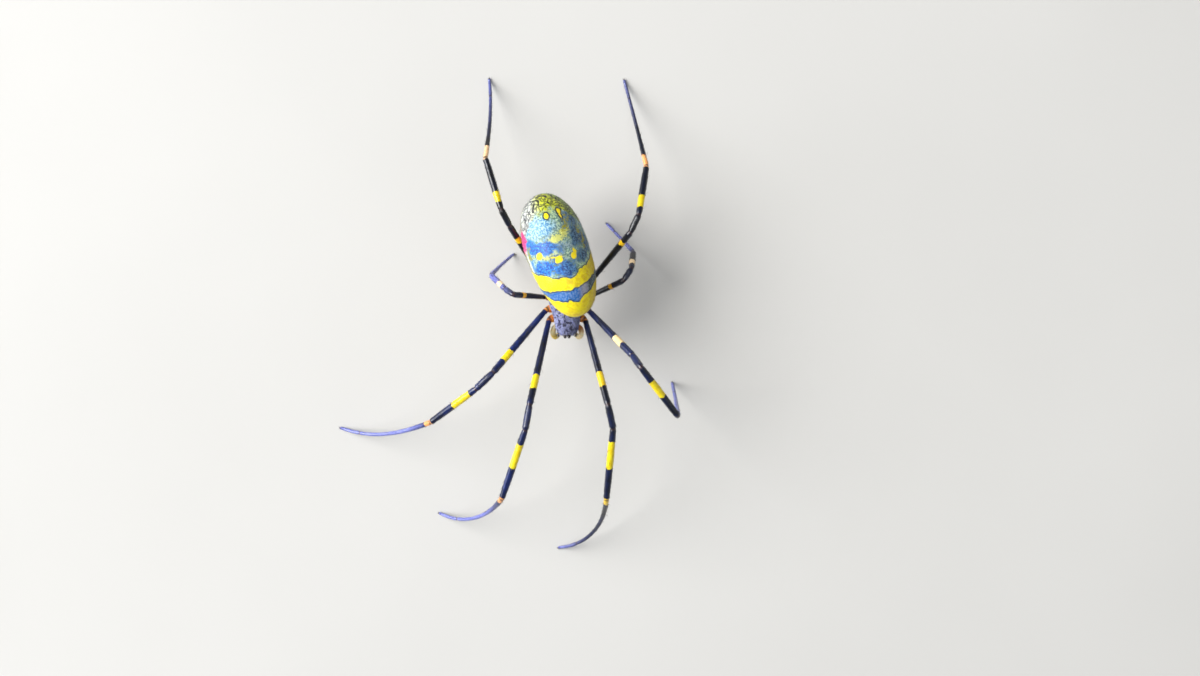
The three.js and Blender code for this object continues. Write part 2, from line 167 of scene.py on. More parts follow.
# Each light's place and size in millimetres, its power in watts, and its tint. All look at one place.
LIT_PLACE = np.array([0.0, 5.0, 8.0])
LIGHTS = {
    "key": ((-660, 240, 600), 720, 9.2, (1.0, 0.98, 0.95)),
    "top": ((60, 60, 900), 500, 1.2, (0.95, 0.98, 1.0)),
    "fill": ((760, -320, 440), 640, 0.5, (0.95, 0.97, 1.0)),
    "rim": ((-600, 120, 230), 800, 7.0, (0.88, 0.92, 1.0)),
}
SKY_COLOUR = (0.86, 0.9, 0.96, 1)  # the soft light from all round
SKY_STRENGTH = 0.26


def place(points):
    """Millimetres of the body plan as metres of the frame."""
    return np.asarray(points, float) * MM + SHIFT


def unit(vectors):
    return vectors / np.maximum(np.linalg.norm(vectors, axis=-1, keepdims=True), 1e-12)


def direction(heading, slope):
    h, s = math.radians(heading), math.radians(slope)
    return np.array([math.cos(s) * math.cos(h), math.cos(s) * math.sin(h), math.sin(s)])


def turn_about(axis, angle):
    """A turn about X, Y or Z, given as 0, 1 or 2, in degrees."""
    c, s = math.cos(math.radians(angle)), math.sin(math.radians(angle))
    first, second = (axis + 1) % 3, (axis + 2) % 3
    turn = np.eye(3)
    turn[first, first] = turn[second, second] = c
    turn[second, first], turn[first, second] = s, -s
    return turn


def bell(distance, width):
    return np.exp(-((distance / width) ** 2))


def circle(columns):
    """Angles all the way round, as one row."""
    return np.linspace(0, 2 * math.pi, columns, endpoint=False)[None, :]


def closing_shares(rows, inset):
    """Shares of the way along a round body, closer together towards both ends."""
    return (1 - np.cos(np.linspace(inset, math.pi - inset, rows))) / 2


def taper(steps, *profile):
    """Values at even steps along a part, read from a few pairs of a share of the way and a value."""
    return np.interp(np.linspace(0, 1, steps), *zip(*profile))


def waviness(points, size, seed):
    """Smooth noise of about -1 to 1 with features of one size: waves in random directions."""
    waves = 28
    rng = np.random.default_rng(seed)
    ways = unit(rng.normal(size=(waves, 3))) * (2 * math.pi / size) * rng.uniform(0.5, 1.3, (waves, 1))
    phases = rng.uniform(0, 2 * math.pi, waves)
    return np.sin(points @ ways.T + phases).sum(axis=-1) / math.sqrt(waves)


def smoothed(values, reach, width):
    """Values blurred over a width. A few at both ends, as many as the reach, are used up."""
    kernel = bell(np.arange(-reach, reach + 1), width)
    return np.convolve(values, kernel / kernel.sum(), "valid")


def curve_through(knots, at):
    """A soft curve near a few (turn, place) knots, read at any turn in degrees."""
    reach = 18
    turns = np.arange(-200, 201)
    line = np.pad(np.interp(turns, *zip(*knots)), reach, "edge")
    return np.interp(at, turns, smoothed(line, reach, reach / 3))


class Surface:
    """A closed round skin: rings of points along a part, its markings, and its flat unwrap."""

    def __init__(self, rings, marks=None, strips=None, box=(0.0, 0.0, 1.0, 1.0)):
        """A strip for each row of cells says where on the unwrap it starts and ends, along and around."""
        self.rings = np.asarray(rings, float)
        shape = self.rings.shape[:2]
        self.marks = {name: np.broadcast_to(value, shape) for name, value in (marks or {}).items()}
        if strips is None:
            ends = np.linspace(0, 1, shape[0])
            strips = np.stack([ends[:-1], ends[1:], 0 * ends[1:], 0 * ends[1:] + 1], axis=1)
        self.strips = strips
        self.box = box
        self.outward = self._outward()

    def _corners(self, grid):
        """A value at the four corners of every cell: here, onwards round, onwards along, and both."""
        turned = np.roll(grid, -1, axis=1)
        return grid[:-1], turned[:-1], grid[1:], turned[1:]

    def _outward(self):
        """1 where rings turned against the way they go face outwards, else -1."""
        a, b, c, d = self._corners(self.rings - self.rings.mean(axis=(0, 1)))
        normals = np.cross(d - a, c - b)
        return 1 if (normals * (a + b + c + d)).sum() > 0 else -1

    def unwrap(self, row, along, around):
        """The place on the unwrap of a row of cells, at shares along the row and around the part."""
        low, high, start, stop = self.strips[row].T
        left, bottom, right, top = self.box
        margin = 0.006
        u = margin + (1 - 2 * margin) * (low + (high - low) * along)
        v = margin + (1 - 2 * margin) * (start + (stop - start) * around)
        return np.stack([left + (right - left) * u, bottom + (top - bottom) * v], axis=-1)

    def mesh_data(self):
        """Points, the corners and corner UVs of the quads and of the end fans, and every point's marks."""
        rows, columns = self.rings.shape[:2]
        ends = self.rings[[0, -1]].mean(axis=1)
        points = np.concatenate([self.rings.reshape(-1, 3), ends])
        marks = {
            name: np.concatenate([grid.ravel(), grid[[0, -1]].mean(axis=1)])
            for name, grid in self.marks.items()
        }

        def cells(row, column, steps):
            """Faces and UVs from their corners' steps along and around. Half a step is the end's middle."""
            faces, uvs = [], []
            for along, around in steps:
                inner = (row + along) * columns + (column + int(around)) % columns
                faces.append(rows * columns + along + 0 * row if around == 0.5 else inner)
                uvs.append(self.unwrap(row, along, (column + around) / columns))
            order = slice(None, None, self.outward)
            return np.stack(faces, axis=1)[:, order], np.stack(uvs, axis=1)[:, order]

        one = np.arange(columns)
        row, column = np.indices((rows - 1, columns)).reshape(2, -1)
        quads, quad_uv = cells(row, column, ((0, 0), (0, 1), (1, 1), (1, 0)))
        first, first_uv = cells(0 * one, one, ((0, 1), (0, 0), (0, 0.5)))
        last, last_uv = cells(0 * one + rows - 2, one, ((1, 0), (1, 1), (1, 0.5)))
        return points, [quads, first, last], [quad_uv, first_uv, last_uv], marks

    def scatter(self, rng, count, weight=None):
        """Random places, evenly over the area or by a weight, each with its normal and lengthwise tangent."""
        a, b, c, d = self._corners(self.rings)
        area = np.linalg.norm(np.cross(d - a, c - b), axis=-1) / 2
        if weight is not None:
            area = area * sum(self._corners(weight)) / 4
        cells = rng.choice(area.size, size=count, p=(area / area.sum()).ravel())
        row, column = np.unravel_index(cells, area.shape)
        s, t = rng.random(count), rng.random(count)

        def read(grid):
            shares = [s, t] if grid.ndim == 2 else [s[:, None], t[:, None]]
            low_a, low_b, high_a, high_b = (corner[row, column] for corner in self._corners(grid))
            low = low_a + (low_b - low_a) * shares[1]
            return low + (high_a + (high_b - high_a) * shares[1] - low) * shares[0]

        along = unit((c - a + d - b)[row, column])
        around = unit((b - a + d - c)[row, column])
        normal = unit(np.cross(around, along)) * self.outward
        uv = self.unwrap(row, s, (column + t) / self.rings.shape[1])
        return dict(
            root=read(self.rings), normal=normal, along=along, uv=uv,
            marks={name: read(grid) for name, grid in self.marks.items()},
        )


def normals_along(line):
    """Two unit normals at every point of a line, which turn as little as they can."""
    tangents = unit(np.gradient(line, axis=0))
    steady = [0.0, 0.0, 1.0] if abs(tangents[0][2]) < 0.95 else [0.0, 1.0, 0.0]
    across = unit(np.cross(steady, tangents[0]))
    rows = []
    for tangent in tangents:
        across = unit(across - tangent * (across @ tangent))
        rows.append(across)
    return np.array(rows), np.cross(tangents, rows)


def round_body(line, radii, columns, relief=0.0):
    """Rings around a line, with relief added to the radii."""
    line = np.asarray(line, float)
    across, up = normals_along(line)
    angle = circle(columns)
    radius = np.asarray(radii)[:, None] + relief
    side = (radius * np.cos(angle))[..., None] * across[:, None]
    rise = (radius * np.sin(angle))[..., None] * up[:, None]
    return line[:, None] + side + rise


def reach_along(points):
    """Every point's distance from the start of a line."""
    return np.concatenate([[0], np.cumsum(np.linalg.norm(np.diff(points, axis=0), axis=1))])


def read_line(at, reach, points):
    """The places at some distances along a line of points."""
    return np.stack([np.interp(at, reach, column) for column in points.T], axis=1)


def eased(line, reach, width):
    """A line of points with its corners rounded over a width, and its ends kept."""
    padded = np.concatenate([2 * line[0] - line[reach:0:-1], line, 2 * line[-1] - line[-2:-reach - 2:-1]])
    return np.stack([smoothed(column, reach, width) for column in padded.T], axis=1)


def rounded(knots, steps, side=1):
    """A smooth line of evenly spaced points near a few knots, mirrored to the right for a side of -1."""
    knots = np.asarray(knots, float) * [side, 1, 1]
    reach = reach_along(knots)
    line = read_line(np.linspace(0, reach[-1], 12 * steps), reach, knots)
    width = max(1, int(len(line) * 0.35 / (len(knots) - 1)))
    line = eased(line, 2 * width, width)
    return read_line(np.linspace(0, len(line) - 1, steps), np.arange(len(line)), line)


def bulge(start, end, radius):
    """Rings of a blunt closed body between two points."""
    share = closing_shares(14, 0.06)
    line = np.asarray(start) + share[:, None] * (np.asarray(end, float) - np.asarray(start))
    girth = np.sqrt(1 - (2 * share - 1) ** 2)
    return round_body(line, radius * np.maximum(girth, 0.02), 20)


# Meshes

UV_NAME = "OFBake"
HAIR_PATCH = 0.0015  # half the size of a hair's patch on the unwrap


def add_object(name, data):
    made = bpy.data.objects.new(name, data)
    bpy.context.scene.collection.objects.link(made)
    return made


def add_piece(name, shapes, material, nodes=()):
    """One piece from surfaces or growths of hair, which stands for some nodes."""
    shapes = [shape.mesh_data() if isinstance(shape, Surface) else shape for shape in shapes]
    points, corners, sizes, uvs = [], [], [], []
    marks = {mark: [] for shape in shapes for mark in shape[3]}
    count = 0
    for new_points, faces, face_uvs, new_marks in shapes:
        for face, uv in zip(faces, face_uvs):
            corners.append(face.ravel() + count)
            sizes.append(np.full(len(face), face.shape[1]))
            uvs.append(uv.reshape(-1, 2))
        for mark, values in marks.items():
            values.append(new_marks.get(mark, np.zeros(len(new_points))))
        points.append(new_points)
        count += len(new_points)
    corners, sizes = np.concatenate(corners), np.concatenate(sizes)
    mesh = bpy.data.meshes.new(name)
    mesh.vertices.add(count)
    mesh.vertices.foreach_set("co", place(np.concatenate(points)).ravel())
    mesh.loops.add(len(corners))
    mesh.loops.foreach_set("vertex_index", corners)
    mesh.polygons.add(len(sizes))
    mesh.polygons.foreach_set("loop_start", np.concatenate([[0], np.cumsum(sizes)[:-1]]))
    mesh.update(calc_edges=True)
    mesh.shade_smooth()
    mesh.uv_layers.new(name=UV_NAME).uv.foreach_set("vector", np.concatenate(uvs).ravel())
    for mark, values in marks.items():
        attribute = mesh.attributes.new(mark, "FLOAT", "POINT")
        attribute.data.foreach_set("value", np.concatenate(values).astype(np.float32))
    mesh.materials.append(material)
    piece = add_object(name, mesh)
    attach(piece, "root")
    if nodes:
        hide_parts(*nodes)


def grow(surface, rng, count, length, width, lift, spread, bend=None, way=1, weight=None):
    """Hairs on a skin, as thin spikes of three sides. They lie along the part, with its rows at a way of 1
    and against them at -1, lifted by some degrees. A curved hair bends back by so many degrees."""
    count = max(1, int(count * FULLNESS))
    spot = surface.scatter(rng, count, weight)
    normal = spot["normal"]
    flat = way * spot["along"] + spread * rng.normal(size=(count, 3))
    flat = unit(flat - normal * (flat * normal).sum(axis=1, keepdims=True))
    rise = np.radians(lift) * rng.uniform(0.6, 1.4, (count, 1))
    size = length * rng.lognormal(0, 0.22, (count, 1))
    thick = width * rng.uniform(0.75, 1.2, (count, 1)) / 2
    first = flat * np.cos(rise) + normal * np.sin(rise)
    side = unit(np.cross(first, normal))
    up = np.cross(first, side)
    root = spot["root"] - normal * width * 0.5
    rings = [(root, thick)]
    tip = root + first * size
    if bend is not None:
        second = rise - math.radians(bend)
        middle = root + first * size * 0.5
        rings.append((middle, thick * 0.8))
        tip = middle + (flat * np.cos(second) + normal * np.sin(second)) * size * 0.5
    points = [centre + radius * (side * math.cos(corner * THIRD) + up * math.sin(corner * THIRD))
              for centre, radius in rings for corner in range(3)]
    points = np.stack([*points, tip], axis=1)
    points[..., 2] = np.maximum(points[..., 2], FLOOR_GAP)
    each = points.shape[1]
    angle = np.arange(each) % 3 * THIRD
    patch = HAIR_PATCH * np.repeat(np.linspace(1, 0, len(rings) + 1), 3)[:each, None]
    offset = patch * np.stack([np.cos(angle), np.sin(angle)], axis=1)
    uv = np.clip(spot["uv"][:, None] + offset, 0.0, 1.0)
    faces = [(2, 1, 0)]
    for i in range(each - 4):
        j = (i + 1) % 3
        faces += [(i, j, j + 3), (i, j + 3, i + 3)]
    faces += [(each - 4 + i, each - 4 + (i + 1) % 3, each - 1) for i in range(3)]
    corners = each * np.arange(count)[:, None, None] + faces
    marks = {name: np.repeat(values, each) for name, values in spot["marks"].items()}
    return points.reshape(-1, 3), [corners.reshape(-1, 3)], [uv[:, faces]], marks


# Materials


def colour(text):
    """A colour written as red, green and blue in hexadecimal, for a shader."""
    parts = [int(text[i:i + 2], 16) / 255 for i in (0, 2, 4)]
    return (*[p / 12.92 if p < 0.04045 else ((p + 0.055) / 1.055) ** 2.4 for p in parts], 1.0)


class Finish:
    """A material and short ways to write its nodes."""

    def __init__(self, name, **settings):
        self.material = bpy.data.materials.new(name)
        self.material.use_nodes = True
        self.tree = self.material.node_tree
        self.shader = self.tree.nodes["Principled BSDF"]
        for socket, value in settings.items():
            self.shader.inputs[socket.replace("_", " ")].default_value = value
        coordinates = self.node("TexCoord", {})["Object"]
        self.millimetres = self.node("VectorMath", {0: coordinates, "Scale": 1 / MM}, operation="SCALE")[0]

    def put(self, value, socket):
        if isinstance(value, bpy.types.NodeSocket):
            self.tree.links.new(value, socket)
        else:
            socket.default_value = colour(value) if isinstance(value, str) else value

    def node(self, kind, values, **settings):
        """The outputs of a new node with these settings, and these values or links at its sockets."""
        node = self.tree.nodes.new("ShaderNode" + kind)
        for setting, value in settings.items():
            setattr(node, setting, value)
        for socket, value in values.items():
            self.put(value, node.inputs[socket])
        return node.outputs

    def mark(self, name):
        return self.node("Attribute", {}, attribute_name=name)["Fac"]

    def noise(self, size, detail=2.0, warp=0.0):
        values = {"Vector": self.millimetres, "Scale": 1 / size, "Detail": detail, "Distortion": warp}
        return self.node("TexNoise", values)[0]

    def cells(self, size, warp):
        """Distance to the edges of irregular cells, with a warped plan."""
        wander = self.node("TexNoise", {"Vector": self.millimetres, "Scale": 1 / size})[1]
        pushed = {0: wander, 1: (warp, warp, warp), 2: self.millimetres}
        plan = {"Vector": self.node("VectorMath", pushed, operation="MULTIPLY_ADD")[0], "Scale": 1 / size}
        return self.node("TexVoronoi", plan, feature="DISTANCE_TO_EDGE")["Distance"]

    def maths(self, operation, *values):
        return self.node("Math", dict(enumerate(values)), operation=operation)[0]

    def add(self, one, two):
        return self.maths("ADD", one, two)

    def times(self, one, two):
        return self.maths("MULTIPLY", one, two)

    def scaled(self, value, gain, offset):
        return self.maths("MULTIPLY_ADD", value, gain, offset)

    def less(self, value):
        """1 less a value."""
        return self.maths("SUBTRACT", 1.0, value)

    def step(self, value, low, high):
        """0 below one value and 1 above the other, with a soft rise between."""
        return self.node("MapRange", {0: value, 1: low, 2: high}, interpolation_type="SMOOTHSTEP")[0]

    def mix(self, share, one, two):
        return self.node("Mix", {0: share, 6: one, 7: two}, data_type="RGBA")[2]

    def blend(self, value, low, high, one, two):
        """One colour where a value is low and another where it is high."""
        return self.mix(self.step(value, low, high), one, two)

    def band(self, value, half):
        """1 where a value is near 0, fading out at a distance."""
        return self.less(self.step(self.maths("ABSOLUTE", value), half * 0.4, half))

    def finish(self, base, bumps=(), roughness=None):
        """The base colour, bumps as (height, depth in millimetres), and any uneven roughness."""
        self.put(base, self.shader.inputs["Base Color"])
        if roughness is not None:
            self.put(roughness, self.shader.inputs["Roughness"])
        for height, depth in bumps:
            below = self.shader.inputs["Normal"].links
            values = {"Distance": depth * MM, "Height": height}
            if below:
                values["Normal"] = below[0].from_socket
            self.put(self.node("Bump", values)[0], self.shader.inputs["Normal"])
        return self.material


# The abdomen

abdomen_turn = turn_about(2, ABDOMEN_YAW) @ turn_about(0, -ABDOMEN_PITCH) @ turn_about(1, ABDOMEN_ROLL)


def in_abdomen(points):
    """From the abdomen's own frame, +Y to the rear and +Z to the back, to the body plan."""
    return np.asarray(points, float) @ abdomen_turn.T + np.array(ABDOMEN_CENTRE)


def abdomen_girth(share):
    """Girth as a share of the widest, at a share of the length from the rear."""
    reach = np.where(share < ABDOMEN_WIDEST, ABDOMEN_WIDEST, 1 - ABDOMEN_WIDEST)
    x = np.minimum(1, np.abs(share - ABDOMEN_WIDEST) / reach)
    return (1 - x ** ABDOMEN_ROUNDNESS) ** (1 / ABDOMEN_ROUNDNESS)


# Edges of the cross bands as (turn from the back's middle, place along), degrees and millimetres. Turn
# is positive to the animal's left, and places along are measured from the middle to the rear.
FRONT_YELLOW_END = [
    (-180, -3.0), (-120, -3.5), (-80, -4.5), (-67, -5.3), (-44, -6.0), (-25, -6.4), (-14, -6.3), (-4, -6.7),
    (5, -6.9), (13, -6.6), (21, -6.2), (32, -6.1), (44, -5.9), (57, -5.4), (75, -4.6), (120, -3.4),
    (180, -3.0),
]
SLATE_END = [
    (-180, -2.0), (-110, -2.5), (-79, -3.6), (-62, -4.1), (-48, -4.4), (-33, -4.6), (-21, -4.8), (-13, -5.0),
    (9, -5.0), (21, -4.8), (33, -4.7), (44, -4.4), (56, -4.0), (70, -3.7), (110, -2.3), (180, -1.8),
]
SECOND_YELLOW_END = [
    (-180, 0.6), (-100, -0.2), (-67, -1.7), (-51, -2.0), (-40, -2.4), (-34, -2.9), (-24, -3.1), (-8, -3.2),
    (-1, -3.6), (5, -3.8), (11, -3.7), (20, -3.1), (28, -2.8), (38, -2.7), (49, -2.3), (63, -1.6),
    (100, 0.0), (180, 0.8),
]
REAR_NET_START = [
    (-180, 3.0), (-105, 1.6), (-85, 1.7), (-68, 3.0), (-50, 4.7), (-32, 5.6), (-10, 5.9), (12, 5.9),
    (30, 5.7), (45, 5.1), (60, 4.3), (75, 3.6), (95, 3.2), (180, 3.0),
]
# Oval marks: turn in degrees, place along, half width, half length, and lean in degrees. A leaning
# mark's right end lies further forward.
YELLOW_SPOTS = [
    (-41, 0.5, 0.55, 0.48, 10), (-7, -0.85, 0.52, 0.42, 0), (-8, -0.45, 0.8, 0.12, 10),
    (22, -0.9, 0.42, 0.42, 0), (27, -0.3, 0.2, 0.5, -20), (-2, 5.15, 0.33, 0.38, 0),
    (28, 5.35, 0.3, 0.38, 0), (27, 4.8, 0.13, 0.5, 6),
]
BLUE_MARKS = [
    (-38, -1.35, 2.1, 0.8, 8), (6, -2.3, 1.1, 0.85, 0), (40, -1.2, 0.9, 0.85, -35),
    (-33, 1.45, 2.5, 0.75, 22), (42, 1.7, 0.75, 1.3, 25), (62, 0.2, 0.6, 1.8, 20), (50, 4.0, 0.8, 1.2, 0),
]
SKY_MARKS = [(-24, 3.9, 1.7, 1.25, 10), (-58, 4.4, 1.0, 1.6, 0), (-62, -0.6, 0.5, 2.4, 10)]
STRAW_MARKS = [(3, 1.75, 1.5, 0.42, -12), (28, 2.5, 0.8, 0.45, -20), (-25, 0.15, 1.2, 0.25, 8)]
OLIVE_MARKS = [(53, 1.1, 0.35, 1.0, 10), (-64, 1.0, 0.3, 0.8, -10), (32, 3.4, 0.3, 0.7, 20)]
RED_MARKS = [
    (-88, 3.0, 1.6, 1.6, 0), (112, 3.3, 1.5, 1.4, 0), (150, 5.2, 1.6, 1.2, 0), (-150, 5.2, 1.6, 1.2, 0),
]


def inside(ovals, turn, along, girth):
    """How far inside the nearest oval mark each place is, in millimetres, and below 0 outside."""
    best = np.full(np.shape(turn), -9.0)
    around = math.radians(1) * ABDOMEN_WIDTH / 2 * np.maximum(girth, 0.3)
    for centre_turn, centre_along, half_width, half_length, lean in ovals:
        x = (turn - centre_turn) * around
        y = along - centre_along
        c, s = math.cos(math.radians(lean)), math.sin(math.radians(lean))
        far = np.hypot((x * c - y * s) / half_width, (x * s + y * c) / half_length)
        best = np.maximum(best, (1 - far) * min(half_width, half_length))
    return best


def abdomen_marks(turn, along, girth, outline):
    """The markings: how far inside each band or patch a place lies, with wandering outlines."""
    along = along + 0.06 * waviness(outline, 0.8, 41)
    first = curve_through(FRONT_YELLOW_END, turn)
    second = curve_through(SLATE_END, turn)
    third = curve_through(SECOND_YELLOW_END, turn)
    loose_turn = turn + 4.5 * waviness(outline, 2.2, 42) + 3.5 * waviness(outline, 0.9, 43)
    loose_along = along + 0.2 * waviness(outline, 2.0, 44) + 0.17 * waviness(outline, 0.8, 45)
    soft = {"blue": BLUE_MARKS, "sky": SKY_MARKS, "straw": STRAW_MARKS, "olive": OLIVE_MARKS}
    return {
        "yellow": np.maximum(first - along, np.minimum(along - second, third - along)),
        "slate": np.minimum(along - first, second - along),
        "spots": inside(YELLOW_SPOTS, turn + 0.7 * waviness(outline, 0.8, 46), along, girth),
        "red": inside(RED_MARKS, loose_turn, loose_along, girth),
        "side": turn / 75,
        "flank": np.clip((np.abs(turn - 3) - 72) / 22, 0, 1),
        "belly": np.clip((np.abs(turn) - 128) / 14, 0, 1),
        "rear": loose_along - curve_through(REAR_NET_START, turn),
        **{name: inside(ovals, loose_turn, loose_along, girth) for name, ovals in soft.items()},
    }


def abdomen_surface():
    rows, columns = 170, 240
    share = closing_shares(rows, 0.02)[:, None]
    turn = np.linspace(-180, 180, columns, endpoint=False)[None, :]
    girth = abdomen_girth(share)
    along = (0.5 - share) * (ABDOMEN_LENGTH - 2 * SKIN_DEPTH)
    across = np.sin(np.radians(turn))
    height = np.cos(np.radians(turn))
    outline = np.stack(np.broadcast_arrays(across * girth * 4.2, along, height * girth * 4.2), axis=-1)
    relief = 0.035 * waviness(outline, 2.6, 11) * girth
    for place_along in (-4.9, -2.2, 0.2, 2.6, 4.4):
        dimple = bell(along - place_along, 0.2) * bell((np.abs(turn) - 13) / 14, 0.2)
        relief = relief - 0.09 * dimple
    under = bell(np.abs(turn) - 180, 52)
    relief = relief - 0.22 * bell(along + 4.7, 0.16) * under  # the furrow behind the book lungs
    lungs = bell(along + 5.6, 0.8) * bell(np.abs(turn) - 150, 16)
    genital = bell(along + 5.1, 0.45) * bell(np.abs(turn) - 180, 9)
    relief = relief + 0.13 * lungs + 0.3 * genital
    radius = ABDOMEN_WIDTH / 2 * girth - SKIN_DEPTH * np.minimum(1, girth * 3) + relief
    rings = np.stack(np.broadcast_arrays(radius * across, along, radius * height), axis=-1)
    marks = abdomen_marks(turn + 0 * along, along + 0 * turn, girth, outline)
    marks["plates"] = np.maximum(lungs, genital)
    return Surface(in_abdomen(rings), marks)


def abdomen_finish(name, coat):
    if coat:
        f = Finish(name, Roughness=0.5)
    else:
        f = Finish(
            name, Roughness=0.34, Coat_Weight=0.25, Coat_Roughness=0.18, Subsurface_Weight=0.12,
            Subsurface_Radius=(0.0008, 0.0006, 0.0003),
        )
    fine = f.noise(0.24, 4)
    grain = f.noise(0.5, 3, 0.6)
    broad = f.noise(1.7, 2)
    ragged = f.scaled(grain, 0.55, -0.275)
    speck = f.scaled(fine, 1.8, -0.9)
    worm = f.maths("ABSOLUTE", f.maths("SINE", f.times(f.noise(1.7, 0.0, 0.7), 19.0)))
    lines = f.less(f.step(worm, 0.2, 0.55))
    net = f.less(f.step(f.cells(0.9, 1.2), 0.05, 0.13))
    # The side mark runs from the animal's right flank, which faces the light, to its left flank, in shade.
    # Colours chosen by it below are painted light on the right and painted shade on the left.
    side = f.mark("side")
    lit_side = f.step(side, 0.45, -0.45)
    dim = f.step(side, 0.35, 0.95)

    def patch(mark, low, high):
        """Where a mark's mottled edge lets it cover, from 0 to 1."""
        return f.step(f.add(f.mark(mark), f.add(ragged, speck)), low, high)

    ground = f.blend(fine, 0.4, 0.58, "688a7c", "b3cba0")
    ground = f.blend(broad, 0.35, 0.7, ground, f.blend(fine, 0.42, 0.58, "5a7884", "9db2bc"))
    sky = f.blend(fine, 0.4, 0.6, "4688b8", "a8ccd2")
    made = f.mix(patch("sky", -0.35, 0.25), ground, sky)
    made = f.mix(patch("straw", -0.25, 0.12), made, f.mix(fine, "b4b850", "e4e488"))
    # The blue marks are a lit copy on the lit right side and a darker shaded copy on the left: painted light
    # and painted shade.
    lit_blue = f.blend(fine, 0.42, 0.58, "02409e", "1c80d6")
    lit_blue = f.blend(fine, 0.62, 0.7, lit_blue, "8cc4e6")
    shaded_blue = f.blend(fine, 0.42, 0.56, "1f3c58", "587e9a")
    blue = f.mix(lit_side, shaded_blue, lit_blue)
    made = f.mix(patch("blue", -0.3, 0.05), made, blue)
    made = f.mix(patch("olive", -0.2, 0.1), made, f.mix(fine, "6f7420", "a8a032"))
    # The rear end is yellow and green with dark winding lines. It is painted whiter on the lit right flank, a
    # painted highlight, and duller green on the shaded left flank, painted shade.
    loose_side = f.scaled(ragged, 1.2, side)
    rear_ground = f.blend(loose_side, 0.05, -0.65, f.mix(broad, "a8b010", "d8dc28"), "c4c6bc")
    rear_ground = f.mix(f.times(f.step(side, 0.4, 0.8), 0.8), rear_ground, "86a052")
    rear = f.step(f.add(f.mark("rear"), f.times(ragged, 2.0)), -0.4, 0.3)
    made = f.mix(rear, made, rear_ground)
    flank = f.step(f.add(f.mark("flank"), ragged), 0.3, 0.7)
    flank_ground = f.blend(broad, 0.4, 0.6, "d2c43c", "93a24a")
    # The left flank is painted darker, olive, as painted shade.
    flank_ground = f.mix(f.times(f.step(side, 0.0, 1.0), 0.6), flank_ground, "3c4c2c")
    made = f.mix(flank, made, flank_ground)
    # A pale stripe along the lit right flank is a painted rim highlight.
    painted_rim_highlight = f.times(f.band(f.maths("SUBTRACT", f.mark("flank"), 0.45), 0.4), 0.8)
    painted_rim_highlight = f.times(painted_rim_highlight, f.step(side, 0.3, -0.5))
    made = f.mix(painted_rim_highlight, made, "e6eadc")
    winding = f.maths("MAXIMUM", lines, f.times(net, 0.7))
    # The winding lines are painted paler grey on the lit right side, as painted light.
    netted = f.maths("MAXIMUM", rear, f.times(flank, 0.9))
    ink = f.blend(side, -0.3, -0.8, "161c14", "3c3e44")
    made = f.mix(f.times(winding, netted), made, ink)
    # The slate band and the two yellow bands, with a thin dark line on their edges.
    # The slate band shows its own blue on the lit right side, a painted grey sheen across the middle, and
    # painted shade, dark teal, on the shaded left side.
    slate = f.blend(side, 0.36, 0.08, f.blend(side, 0.42, 0.6, "9a98a6", "2b4040"), "1464ae")
    slate = f.blend(fine, 0.44, 0.58, slate, f.mix(0.22, slate, "c8d8e6"))
    made = f.blend(f.add(f.mark("slate"), ragged), -0.04, 0.06, made, slate)
    yellow = f.add(f.mark("yellow"), f.times(ragged, 0.7))
    edge = f.band(f.add(yellow, 0.09), 0.14)
    made = f.mix(f.times(edge, 0.75), made, "16262e")
    gold = f.blend(grain, 0.3, 0.6, "e6c800", "fae600")
    # The yellow is painted darker on the shaded left side: painted shade.
    gold = f.mix(f.times(dim, 0.55), gold, "b08c02")
    made = f.blend(yellow, -0.03, 0.04, made, gold)
    spots = f.add(f.mark("spots"), f.times(ragged, 0.35))
    outlined = f.scaled(f.step(f.mark("rear"), -2.5, -1.2), 0.7, 0.2)
    made = f.mix(f.times(f.band(f.add(spots, 0.08), 0.15), outlined), made, "101810")
    made = f.blend(spots, -0.03, 0.03, made, "fae000")
    red = f.step(f.add(f.mark("red"), f.times(ragged, 2.0)), -0.1, 0.35)
    made = f.mix(red, made, f.blend(fine, 0.35, 0.65, "b8145e", "ee4896"))
    belly = f.blend(grain, 0.52, 0.62, "2a2420", "8a8230")
    made = f.blend(f.add(f.mark("belly"), ragged), 0.3, 0.7, made, belly)
    made = f.blend(f.mark("plates"), 0.35, 0.6, made, "4a2c18")
    if coat:
        made = f.mix(0.12, made, "e8ecf0")
        return f.finish(made)
    return f.finish(made, [(grain, 0.05), (fine, 0.03)], f.step(fine, -0.9, 1.6))


def build_abdomen(rng):
    surface = abdomen_surface()
    add_piece("abdomen_skin", [surface], abdomen_finish("abdomen_skin", False), ["abdomen"])
    down = grow(surface, rng, 26000, length=0.17, width=0.011, lift=16, spread=0.3, way=-1)
    long = grow(surface, rng, 2400, length=0.34, width=0.014, lift=30, spread=0.35, bend=16, way=-1)
    add_piece("abdomen_down", [down, long], abdomen_finish("abdomen_down", True))


# Head, chest and jaws


